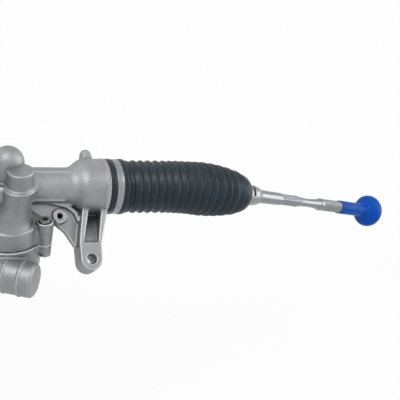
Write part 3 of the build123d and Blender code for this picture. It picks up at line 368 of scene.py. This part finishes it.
finishes.update({
    "boot_rubber": moulded("elastomer_bellows", "#15232C", "#1E2F38", 0.40, ior=1.38),
    "seal_rubber": moulded("nitrile_rubber", "#171718", "#202021", 0.6),
    "bush_plastic": moulded("acetal_moulded", "#D8D3C0", "#E2DDCB", 0.4, ior=1.48),
    "gear_nylon": moulded("nylon_hobbed", "#DDD2AC", "#E8DFBE", 0.45, ior=1.53),
    "socket_plastic": moulded("nylon_glass_filled", "#1A1A1C", "#242427", 0.5, ior=1.53),
    "cap_plastic": moulded("polyethylene_blue", "#0051B4", "#0059C2", 0.42, 12.0, 0.8, ior=1.24),
    "motor_shell": moulded("steel_black_coated", "#18191B", "#222326", 0.35, 30.0, 0.6, ior=1.5),
})
print("all finishes", sorted(finishes))

# %% [markdown]
# ## Finishes onto the solids
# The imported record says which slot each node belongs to, so one loop gives every carried
# node its finish. Pieces made below replace some of these nodes.

# %% Dress every node
for part in frame["record"]["subparts"]:
    mesh = nodes[part["node"]].data
    mesh.materials.clear()
    mesh.materials.append(finishes[part["material_slot"]])

# %% [markdown]
# ## Surfaces from numbers
# A new piece is a grid: points worked out for whole arrays of two parameters at once. One
# parameter runs along the piece, the other round it. The grid can be joined round either
# way, and open ends can be closed with a fan, so that the piece is a real solid skin.

# %% Grid to mesh
def skin(name, points, slot, round_u=False, round_v=True, cap=True, sharp=35.0):
    """Mesh from a grid of points (u, v, 3) in millimetres. u runs along, v runs round. Each cell
    is one quad; round_u and round_v join the last row or column to the first; cap closes the
    two ends with one centre point each. Faces are turned outward by the sign of the volume,
    the sum of a . (b x c) over the faces' first three corners."""
    rows, columns = points.shape[:2]
    index = np.arange(rows * columns).reshape(rows, columns)
    low = index if round_u else index[:-1]
    high = np.roll(index, -1, 0) if round_u else index[1:]
    if round_v:
        quads = np.stack([low, np.roll(low, -1, 1), np.roll(high, -1, 1), high], -1).reshape(-1, 4)
    else:
        quads = np.stack([low[:, :-1], low[:, 1:], high[:, 1:], high[:, :-1]], -1).reshape(-1, 4)
    flat = points.reshape(-1, 3)
    faces = quads.tolist()
    if cap and round_v and not round_u:
        for row, flip in ((0, True), (rows - 1, False)):
            centre = len(flat)
            flat = np.vstack([flat, points[row].mean(0)])
            ring, following = index[row], np.roll(index[row], -1)
            first, second = (following, ring) if flip else (ring, following)
            faces += np.stack([first, second, np.full(columns, centre)], -1).tolist()
    corners = flat * MM
    mesh = bpy.data.meshes.new(name)
    mesh.from_pydata(corners.tolist(), [], faces)
    mesh.update()
    a, b, c = (corners[np.array([face[k] for face in faces])] for k in range(3))
    if np.einsum("ij,ij->i", a, np.cross(b, c)).sum() < 0:
        mesh.flip_normals()
    mesh.shade_smooth()
    mesh.set_sharp_from_angle(angle=math.radians(sharp))
    mesh.materials.append(finishes[slot])
    piece = bpy.data.objects.new(name, mesh)
    bpy.context.scene.collection.objects.link(piece)
    return piece


def rings(origin, along, stations, radii, angles, side=1):
    """Points of circles square to a line: origin + station * along + radius * (cos * across +
    sin * upward). radii has one per station, or one per station and angle. side -1 mirrors the
    points in the plane x = 0."""
    across = np.array([0.0, 1.0, 0.0]) - along * along[1]
    across /= np.linalg.norm(across)
    upward = np.cross(along, across)
    radii = np.asarray(radii, float)
    if radii.ndim == 1:
        radii = radii[:, None]
    turn = np.cos(angles)[:, None] * across + np.sin(angles)[:, None] * upward
    points = origin + np.asarray(stations, float)[:, None, None] * along + radii[..., None] * turn
    points[..., 0] *= side
    return points


def circle(count):
    """Evenly spaced angles round a full turn."""
    return np.linspace(0.0, 2 * math.pi, count, endpoint=False)


SIDES = ((1, "right"), (-1, "left"))
print("surface helpers ready")

# %% [markdown]
# ## Bellows
# The bellows are one moulded sleeve with fifteen crests. They are round, with deep and dark
# valleys, and the sleeve bends from the rack to the drooping tie rod. The centre line is a
# straight run followed by a cubic curve, and the folds are circles set square to it.
#
# One end is held by the housing and the other by the tie rod, and between them lie a slide
# and two hinges. The sleeve is cut at two valleys into three lengths, each of which meets the
# next one exactly.

# %% Bellows centre line
def centre_line(bend_start=70.0, rod_reach=98.0, bell_pull=24.0, rod_pull=70.0, run_on=60.0):
    """Stations, points and directions of the centre line: straight for bend_start, then the cubic
    p0 u^3 + 3 p1 u^2 t + 3 p2 u t^2 + p3 t^3 with u = 1 - t, then straight along the tie rod
    for run_on millimetres."""
    start, end = BELL + RACK * bend_start, BALL + ROD * rod_reach
    one, two = start + RACK * bell_pull, end - ROD * rod_pull
    t = np.linspace(0.0, 1.0, 200)[:, None]
    u = 1.0 - t
    curve = start * u**3 + one * 3 * u * u * t + two * 3 * u * t * t + end * t**3
    slope = (one - start) * 3 * u * u + (two - one) * 6 * u * t + (end - two) * 3 * t * t
    slope /= np.linalg.norm(slope, axis=1)[:, None]
    steps = np.linalg.norm(np.diff(curve, axis=0), axis=1)
    run = bend_start + np.concatenate([[0.0], np.cumsum(steps)])
    stations = np.concatenate([[0.0], run, [run[-1] + run_on]])
    points = np.vstack([BELL, curve, end + ROD * run_on])
    return stations, points, np.vstack([RACK, slope, ROD])


LINE = centre_line()


def along_line(stations, radii, angles, side=1):
    """Circles of the given radii, square to the centre line at the given stations."""
    stations = np.asarray(stations, float)
    middle = np.stack([np.interp(stations, LINE[0], LINE[1][:, k]) for k in range(3)], -1)
    ahead = np.stack([np.interp(stations, LINE[0], LINE[2][:, k]) for k in range(3)], -1)
    ahead /= np.linalg.norm(ahead, axis=1)[:, None]
    across = np.array([0.0, 1.0, 0.0]) - ahead * ahead[:, 1:2]
    across /= np.linalg.norm(across, axis=1)[:, None]
    upward = np.cross(ahead, across)
    turn = (np.cos(angles)[None, :, None] * across[:, None]
            + np.sin(angles)[None, :, None] * upward[:, None])
    points = middle[:, None] + np.asarray(radii, float)[:, None, None] * turn
    points[..., 0] *= side
    return points


print("centre line length", round(LINE[0][-2], 1), "mm")

# %% Bellows profile
# Stations of the crests from the bell's end, their radii, and the depth of the fold after each.
CRESTS = (33.0, 41.5, 50.0, 58.8, 67.3, 74.4, 81.4, 89.0, 97.2, 106.4, 116.3, 128.3, 139.3, 151.5,
          165.1)
CREST_R = (28.1, 28.1, 28.1, 28.1, 28.1, 28.1, 28.2, 28.3, 28.5, 28.9, 29.3, 29.1, 28.4, 27.2, 25.2)
FOLDS = (2.6, 2.6, 2.6, 2.6, 2.6, 2.6, 2.7, 2.8, 3.0, 3.2, 3.4, 3.6, 3.6, 3.4, 3.0)
EDGE = 0.14               # how round a crest is: 0 is a sharp fold
WALL = 1.4
# The two plain ends as (station, radius): the nose on the tie rod and the cuff on the bell.
NOSE = ((171.0, 22.7), (176.0, 22.3), (180.2, 20.8), (183.6, 17.8), (186.0, 13.8), (187.4, 11.2),
        (200.0, 10.7), (207.0, 9.2), (208.0, 8.9))
CUFF = ((0.3, 26.1), (0.3, 28.6), (1.0, 29.3), (5.6, 29.3), (6.3, 28.9), (6.5, 28.0), (14.5, 28.0),
        (14.7, 28.9), (15.4, 29.3), (19.6, 29.3), (20.6, 28.9), (21.2, 27.6), (22.4, 26.2),
        (23.4, 26.4), (24.2, 27.3), (25.0, 27.6), (25.9, 27.2), (27.2, 25.2))


def fold_wave(share):
    """Depth of a fold from 0 at a crest to 1 in the valley, for a share 0 to 1 of the way to the
    next crest: asin(sqrt((sin(pi share)^2 + e^2) / (1 + 1.1 e^2))), straight flanks with a small
    round at the crest and in the valley, moved and scaled to run from 0 to 1."""
    swing = np.sin(math.pi * np.array([0.0, 0.5, *np.atleast_1d(share)])) ** 2
    wave = np.arcsin(np.sqrt((swing + EDGE**2) / (1 + 1.1 * EDGE**2)))
    return (wave[2:] - wave[0]) / (wave[1] - wave[0])


def folds(first, last):
    """Stations and radii between two crests: the wave above, from crest radii and fold depths
    that change evenly from each crest to the next."""
    stations, radii = [], []
    for k in range(first, last):
        a, b = CRESTS[k], CRESTS[k + 1]
        share = np.linspace(0.0, 1.0, 17)[:-1]
        top = CREST_R[k] + (CREST_R[k + 1] - CREST_R[k]) * share
        stations.append(a + (b - a) * share)
        depth = FOLDS[k] + (FOLDS[k + 1] - FOLDS[k]) * share
        radii.append(top - depth * fold_wave(share))
    return np.concatenate(stations), np.concatenate(radii)


valleys = [(CRESTS[k] + CRESTS[k + 1]) / 2 for k in range(len(CRESTS) - 1)]
print("valleys", [round(v, 1) for v in valleys])

# %% Bellows in three lengths
ROUND = circle(96)
LAST_FOLD = 1.6           # depth of the shallow fold before the nose
CUFF_BORE, CUFF_DEPTH = 26.05, 21.0     # bore of the cuff, and how far in it reaches
GRIP_BORE, GRIP_START = 7.7, 185.0      # bore of the end that grips the rod, and its start
CLEAR_BORE = 7.8          # the least bore between the two
CUFF_HOLD, NOSE_HOLD = 24.0, 182.0      # stations near the cuff and near the nose
all_s, all_r = folds(0, len(CRESTS) - 1)
lead_s = np.linspace(CUFF[-1][0], CRESTS[0], 10)[1:-1]
lead_share = 0.5 + 0.5 * (lead_s - CUFF[-1][0]) / (CRESTS[0] - CUFF[-1][0])
lead_r = CREST_R[0] - FOLDS[0] * fold_wave(lead_share)
tail_s = np.linspace(CRESTS[-1], NOSE[0][0], 8)
tail_r = (np.interp(tail_s, [CRESTS[-1], NOSE[0][0]], [CREST_R[-1], NOSE[0][1]])
          - LAST_FOLD * np.sin(math.pi * (tail_s - CRESTS[-1]) / (NOSE[0][0] - CRESTS[-1])))
outer_s = np.concatenate([[p[0] for p in CUFF], lead_s, all_s, tail_s, [p[0] for p in NOSE[1:]]])
outer_r = np.concatenate([[p[1] for p in CUFF], lead_r, all_r, tail_r, [p[1] for p in NOSE[1:]]])
CUTS = (valleys[10], valleys[12])       # where one length meets the next


def sleeve(name, low, high, side):
    """One closed length of the bellows: the outer profile, then the inner one back, joined round."""
    keep = (outer_s > low) & (outer_s < high)
    ends = np.interp([low, high], outer_s, outer_r)
    s = np.concatenate([[low], outer_s[keep], [high]])
    r = np.concatenate([[ends[0]], outer_r[keep], [ends[1]]])
    hollow = np.where(s > GRIP_START, GRIP_BORE, np.maximum(r - WALL, CLEAR_BORE))
    inside = np.where(s < CUFF_DEPTH, CUFF_BORE, hollow)
    s_loop = np.concatenate([s, s[::-1]])
    r_loop = np.concatenate([r, inside[::-1]])
    return skin(name, along_line(s_loop, r_loop, ROUND, side), "boot_rubber", round_u=True, sharp=60.0)


def ring_reach(station, side):
    """Lowest and highest x of the bellows' circle at a station, in metres."""
    x = along_line([station], [np.interp(station, outer_s, outer_r)], ROUND, side)[0][:, 0] * MM
    return x.min(), x.max()


for side, name in SIDES:
    lengths = [sleeve(f"bellows_{part}_{name}", low, high, side) for part, low, high in (
        ("bell", outer_s[0] - 0.1, CUTS[0]), ("bend", *CUTS), ("rod", CUTS[1], outer_s[-1] + 0.1))]
    end_x = ring_reach(CUTS[0], side)[0 if side > 0 else 1]
    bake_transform(lengths[0])
    turn_low = along_line([CUTS[0]], [0.0], ROUND, side)[0, 0] * MM
    turn_high = along_line([CUTS[1]], [0.0], ROUND, side)[0, 0] * MM
    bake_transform(lengths[1])
    last = along_line([NOSE_HOLD], [0.0], ROUND, side)[0, 0] * MM
    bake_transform(lengths[2])
    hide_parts(f"boot_{name}")
    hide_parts(f"boot_{name}")
    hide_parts(f"boot_{name}")
print("bellows lengths meet at", [round(c, 1) for c in CUTS], "mm")

# %% [markdown]
# ## Band of the large cuff
# A strip of stainless steel is pulled tight round the cuff and closed by a crimped ear. Its
# edges are rolled, so they catch the light. The ear sits under the cuff.

# %% Large band
BAND = ((6.75, 28.06), (6.75, 28.75), (6.95, 29.0), (7.4, 29.08), (13.6, 29.08), (14.05, 29.0),
        (14.25, 28.75), (14.25, 28.06), (13.4, 28.02), (7.6, 28.02))
BAND_MIDDLE = 28.4        # radius between the inner and the outer face of the strip
EAR_TURN, EAR_HEIGHT, EAR_HALF = math.radians(250), 4.2, 0.105      # where, how high and wide
EAR_INNER_LIFT = 0.86     # the strip's inner face rises a little less than its outer one


def band(name, side):
    """Closed strip round the cuff: a flat ring with rounded edges, lifted locally into an ear by
    height * exp(-(angle / half width)^6)."""
    angles = circle(240)
    away = (angles - EAR_TURN + math.pi) % (2 * math.pi) - math.pi
    ear = EAR_HEIGHT * np.exp(-np.abs(away / EAR_HALF) ** 6)
    profile = np.array(BAND)
    lift = np.where(profile[:, 1:2] > BAND_MIDDLE, 1.0, EAR_INNER_LIFT)
    radii = profile[:, 1:2] + ear[None] * lift
    strip = rings(BELL, RACK, profile[:, 0], radii, angles, side)
    return skin(name, strip, "band_steel", round_u=True, sharp=50.0)


for side, name in SIDES:
    piece = band(f"cuff_band_{name}", side)
    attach(piece, "housing")
    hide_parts(f"boot_band_{name}")
print("bands fitted")

# %% [markdown]
# ## Spring clip of the small cuff
# The small end is held by a spring band whose ends overlap. The outer end is cut to a tongue,
# and the rubber below shows along its curved edge.

# %% Small clip
CLIP_WALL = 0.72
BARE = 0.5                # the rubber shows where the cut is deeper than this
LIP_HEIGHT, LIP_AT, LIP_HALF = 0.3, 0.9, 0.5       # the raised lip near the cuff
EDGE_ROUND = 0.35         # how much the radius drops at each edge
CUT_DEPTH, CUT_HALF = 1.2, 2.0                     # the cut along the tongue
CUT_FROM, CUT_TO, CUT_FADE = 5.0, 112.0, 3.0       # the angles it spans, in degrees


def clip(name, side, start=93.0, end=115.0):
    """Thin band round the rod, one height field over (distance, angle): wide at the cuff and
    drawn in toward the rod, with a raised lip, and cut down to the rubber along the tongue. The
    cut is depth * exp(-(distance from the tongue's edge / half width)^4)."""
    along = np.concatenate([[start, start + 0.12], np.linspace(start + 0.3, end - 0.3, 60),
                            [end - 0.12, end]])
    angles = circle(180)
    s, turn = along[:, None], np.degrees(angles)[None]
    turn = (np.where(side > 0, turn, 180.0 - turn) + 180.0) % 360.0 - 180.0
    ends = EDGE_ROUND * (np.clip(1 - (s - start) / 0.3, 0, 1) ** 2
                         + np.clip(1 - (end - s) / 0.3, 0, 1) ** 2)
    drawn = np.interp(s, [start, start + 9.0, start + 16.0, end - 0.6, end],
                      [12.1, 11.9, 11.2, 10.0, 9.8])
    lip = LIP_HEIGHT * np.exp(-(((s - start - LIP_AT) / LIP_HALF) ** 2))
    arc = np.clip((turn - 20.0) / 90.0, 0, 1)
    tongue = start + 6.5 + 4.5 * (1 - arc) ** 2
    spans = (np.clip((turn - CUT_FROM) / CUT_FADE, 0, 1)
             * np.clip((CUT_TO - turn) / CUT_FADE, 0, 1))
    cut = CUT_DEPTH * np.exp(-(((s - tongue) / CUT_HALF) ** 4)) * spans
    outside = drawn - ends + lip - cut
    loop_s = np.concatenate([along, along[::-1]])
    loop_r = np.concatenate([outside, (np.minimum(outside, drawn) - CLIP_WALL)[::-1]])
    points = rings(BALL, ROD, loop_s, loop_r, angles, side)
    piece = skin(name, points, "band_steel", round_u=True, sharp=50.0)
    piece.data.materials.append(finishes["boot_rubber"])
    deep = np.concatenate([cut, np.zeros_like(cut)]) > BARE
    rubber = deep & np.roll(deep, -1, 0)
    piece.data.polygons.foreach_set("material_index", rubber.astype(np.int32).ravel())
    return piece


for side, name in SIDES:
    piece = clip(f"spring_clip_{name}", side)
    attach(piece, f"rod_{name}")
    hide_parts(f"boot_clip_{name}")
print("clips fitted")

# %% [markdown]
# ## Tie rods
# A tie rod is forged and turned bar: a ball, a neck, a plain body, six pressed flats for a
# spanner, a waist, a collar and a long thread. Its skin is one height field wound round the
# rod: the radius is a function of the distance along it and the angle round it.

# %% Tie rod
PITCH, THREAD_DEPTH = 1.5, 0.82
BALL_R, NECK_R, BALL_END = 13.5, 6.3, 12.0
HEX_START, HEX_END = 157.0, 184.0
HEX_HALF, HEX_TURN = 6.3, math.pi / 18      # half the width over the flats, and how they are turned
THREAD_START, ROD_END = 237.0, 330.0
ROD_STATIONS = (-13.5, 9.0, 30.0, 52.0, 128.0, 131.0, 154.0, 157.0, 183.5, 188.5, 196.0, 204.0,
                212.0, 219.0, 225.0, 229.2, 230.6, 231.4, 232.0, 236.0, 236.7, 237.5, 330.0)
ROD_RADII = (6.3, 6.3, 6.3, 7.6, 7.6, 7.5, 7.2, 7.25, 7.2, 6.3, 5.4, 5.0,
             4.9, 5.2, 5.7, 6.3, 6.5, 7.1, 7.3, 7.3, 6.9, 7.0, 7.0)


def rod_radius(along, angles):
    """Radius over (distance, angle): the ball, sqrt(R^2 - distance^2), then the turned profile,
    cut by six flats at half width / cos(angle from the nearest flat), with a helix of triangular
    crests on the threaded part."""
    along, angles = along[:, None], angles[None]
    turned = np.interp(along, ROD_STATIONS, ROD_RADII)
    ball = np.sqrt(np.maximum(BALL_R**2 - along**2, 0.0))
    neck = np.where(along > 0, NECK_R, 0.0)
    turned = np.where(along < BALL_END, np.maximum(ball, neck), turned)
    from_flat = (angles + HEX_TURN) % (math.pi / 3) - math.pi / 6
    flats = HEX_HALF / np.cos(from_flat)
    ease = np.clip((along - HEX_START + 3) / 4.0, 0, 1) * np.clip((HEX_END + 4 - along) / 4.0, 0, 1)
    turned = np.where(ease > 0, np.minimum(turned, flats + (1 - ease) * 1.4), turned)
    wave = np.abs(((along / PITCH - angles / (2 * math.pi)) % 1.0) * 2 - 1)
    cut = np.clip((along - THREAD_START) / 2.0, 0, 1) * np.clip((ROD_END - 1 - along) / 1.5, 0, 1)
    bevel = np.where(along > ROD_END - 2, (along - ROD_END + 2) * 0.75, 0.0)
    return turned - cut * THREAD_DEPTH * np.clip(wave * 1.25 - 0.12, 0, 1) - bevel


def tie_rod(name, side):
    """The whole rod, from the pole of its ball to its threaded end."""
    ball_part = -BALL_R * np.cos(np.linspace(0.04, 2.55, 28))
    plain = [BALL_END, 14.0, 20.0, 30.0, 41.0, 52.0, 90.0, 127.0, 128.0, 129.0, 131.0, 145.0, 150.0]
    flats = np.concatenate([np.linspace(153.0, 160.0, 12), np.linspace(164.0, 180.0, 6),
                            np.linspace(181.0, 193.0, 16)])
    waist = np.concatenate([np.linspace(196.0, 228.0, 11), np.linspace(229.0, 237.3, 22)])
    thread = np.arange(THREAD_START + 0.5, ROD_END + 0.01, PITCH / 8)
    along = np.concatenate([ball_part, plain, flats, waist, thread])
    angles = circle(72)
    points = rings(BALL, ROD, along, rod_radius(along, angles), angles, side)
    piece = skin(name, points, "zinc_steel", sharp=40.0)
    piece.data.materials.append(finishes["thread_steel"])
    station = np.repeat(np.append(along[:-1], [along[0], along[-1]]), len(angles))
    piece.data.polygons.foreach_set("material_index", (station > THREAD_START).astype(np.int32))
    return piece


for side, name in SIDES:
    piece = tie_rod(f"rod_{name}_threaded", side)
    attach(piece, f"rod_{name}")
    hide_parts(f"tie_rod_{name}")
print("tie rods made,", len(piece.data.polygons), "faces each")

# %% [markdown]
# ## Thread protector
# A moulded cap of soft blue polyethylene covers the end of the thread. It is round in
# shape: a tube, a flared root and a dished disc with a rounded rim.

# %% Thread cap
CAP = ((271.5, 7.05), (271.5, 7.8), (271.9, 8.0), (298.0, 8.0), (320.0, 8.02), (322.8, 8.3),
       (324.6, 9.2), (325.5, 10.6), (325.9, 12.4), (326.1, 14.4), (326.7, 16.2), (327.8, 17.6),
       (329.4, 18.6), (331.4, 19.1), (333.6, 19.2), (336.6, 18.7), (339.0, 17.7), (340.6, 16.8),
       (341.3, 16.3), (341.2, 16.0), (340.2, 15.9), (337.6, 15.8), (336.4, 15.0), (336.2, 13.0),
       (336.3, 11.0), (336.3, 5.0), (336.3, 0.6))
CAP_BORE = ((331.0, 0.6), (331.0, 7.05))


def thread_cap(name, side):
    """Round skin of the cap: outside profile, then the blind bore back to its mouth."""
    profile = np.array(CAP + CAP_BORE)
    points = rings(BALL, ROD, profile[:, 0], profile[:, 1], circle(96), side)
    return skin(name, points, "cap_plastic", round_u=True, sharp=50.0)


for side, name in SIDES:
    piece = thread_cap(f"protector_{name}", side)
    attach(piece, f"cap_{name}")
    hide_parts(f"thread_cap_{name}")
print("caps made")

# %% [markdown]
# ## Cast skins
# A casting has no sharp corner: the die's edges are rounded and its inside corners filleted.
# A copy of the solid is filled with small cubes, smoothed, and cut again where a tool cut the
# real one, which is also the order in which the foundry and the machine shop work.

# %% Casting from a solid
def cast_skin(name, node, voxel, rounds, drills=()):
    """Copy of a node's mesh, merged, remeshed at voxel millimetres, relaxed for some rounds, then
    drilled: each drill is (origin, direction, radius, length) in millimetres."""
    copy = nodes[node].data.copy()
    work = bmesh.new()
    work.from_mesh(copy)
    bmesh.ops.remove_doubles(work, verts=work.verts, dist=1e-5)
    bmesh.ops.recalc_face_normals(work, faces=work.faces)
    work.to_mesh(copy)
    work.free()
    piece = bpy.data.objects.new(name, copy)
    bpy.context.scene.collection.objects.link(piece)
    voxels = piece.modifiers.new("voxels", "REMESH")
    voxels.mode, voxels.voxel_size, voxels.adaptivity = "VOXEL", voxel * MM, 0.0
    relax = piece.modifiers.new("relax", "SMOOTH")
    relax.factor, relax.iterations = 0.5, rounds
    cutters = []
    for k, (origin, direction, radius, length) in enumerate(drills):
        direction = np.array(direction, float) / np.linalg.norm(direction)
        bore = rings(np.array(origin, float), direction, [0.0, length], [radius, radius], circle(64))
        tool = skin(f"tool_{k}", bore, "guide_metal")
        cut = piece.modifiers.new(f"drill_{k}", "BOOLEAN")
        cut.object, cut.operation, cut.solver = tool, "DIFFERENCE", "MANIFOLD"
        cutters.append(tool)
    bpy.context.view_layer.update()
    final = bpy.data.meshes.new_from_object(piece.evaluated_get(bpy.context.evaluated_depsgraph_get()))
    final.name = name
    piece.modifiers.clear()
    piece.data = final
    for tool in cutters:
        bpy.data.objects.remove(tool)
    final.shade_smooth()
    final.set_sharp_from_angle(angle=math.radians(50))
    final.materials.clear()
    final.materials.append(finishes["cast_aluminium"])
    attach(piece, "housing")
    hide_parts(node)
    print(name, len(final.polygons), "faces")


UP = (0, 0, 1)
BOLT_R, DRILL_START, DRILL_LENGTH = 5.2, -3, 30
FINE, COARSE, ROUNDS = 0.95, 1.05, 3        # small cubes in millimetres, and rounds of smoothing
bolt_holes = [((side * LUG_X, 0, DRILL_START), UP, BOLT_R, DRILL_LENGTH) for side, _ in SIDES]
cast_skin("casting_right", "rack_housing_right", FINE, ROUNDS, [bolt_holes[0]])
cast_skin("casting_left", "rack_housing_left", COARSE, ROUNDS, [bolt_holes[1]])
cast_skin("casting_worm", "worm_housing", FINE, ROUNDS)

# %% [markdown]
# ### Boss in front of the tower
# A flat-topped boss stands beside the dome, on the shoulder of the tower. It is a turned form:
# a machined face, a straight wall, two small steps where the die parts meet, and a foot that
# leans back and widens into the shoulder.

# %% Tower boss
# The tower's middle and its three axes: along the rack, across it, and up to the tower's face.
TOWER = np.array([175.0, 66.836, 25.276])
TOWER_X = np.array([0.989, 0.1008, 0.1081])
TOWER_Y = np.array([0.0, 0.7314, -0.682])
TOWER_Z = np.array([-0.1478, 0.6745, 0.7233])
# The boss as (height, radius), and how far its middle stands to the side at five heights.
PAD = ((-34, 26), (-27, 25.5), (-21, 22.5), (-15, 19.6), (-8, 17.6), (0, 16.8), (10, 16.8),
       (20.0, 17.4), (21.3, 17.3), (21.9, 16.6), (22.4, 16.0), (23.4, 15.9), (24.2, 15.2),
       (24.6, 14.3), (25.4, 14.0), (40.6, 13.8), (41.5, 13.4), (42.0, 12.6), (42.0, 0.4))
LEAN_AT = (-34.0, -20.0, 0.0, 22.0, 42.0)
LEAN_X = (0.0, 0.5, 4.0, 6.8, 7.3)
LEAN_Y = (-8.0, -9.0, -15.0, -21.5, -22.75)


def resampled(profile, step):
    """The same profile with a point at least every step millimetres along it."""
    profile = np.array(profile, float)
    run = np.concatenate([[0.0], np.cumsum(np.linalg.norm(np.diff(profile, axis=0), axis=1))])
    at = np.unique(np.concatenate([run, np.arange(0.0, run[-1], step)]))
    return np.stack([np.interp(at, run, profile[:, 0]), np.interp(at, run, profile[:, 1])], -1)


profile = resampled(PAD, 0.8)
points = rings(TOWER, TOWER_Z, profile[:, 0], profile[:, 1], circle(120))
lean_x = np.interp(profile[:, 0], LEAN_AT, LEAN_X)
lean_y = np.interp(profile[:, 0], LEAN_AT, LEAN_Y)
points += (lean_x[:, None] * TOWER_X + lean_y[:, None] * TOWER_Y)[:, None]
pad = skin("tower_pad", points, "cast_aluminium", sharp=60.0)
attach(pad, "housing")
print("boss stands", round(profile[:, 0].max() - profile[:, 0].min()), "mm high")

# %% [markdown]
# ### Turned end of the bell
# The last few millimetres of each bell are turned true after casting, so that the cuff seats
# well. The tool leaves a brighter face, a small step where it stopped and a bevel at the end.

# %% Turned lands
# (x, radius); x is measured from the middle of the rack.
LAND = ((277.2, 29.0), (277.2, 29.35), (277.5, 29.5), (281.9, 29.5), (282.4, 29.0), (282.4, 26.4),
        (281.6, 26.4), (281.6, 29.0))
for side, name in SIDES:
    profile = np.array(LAND)
    points = rings(BELL * [0, 1, 1], RACK, profile[:, 0], profile[:, 1], circle(144), side)
    piece = skin(f"bell_land_{name}", points, "guide_metal", round_u=True, sharp=30.0)
    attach(piece, "housing")
print("lands turned")
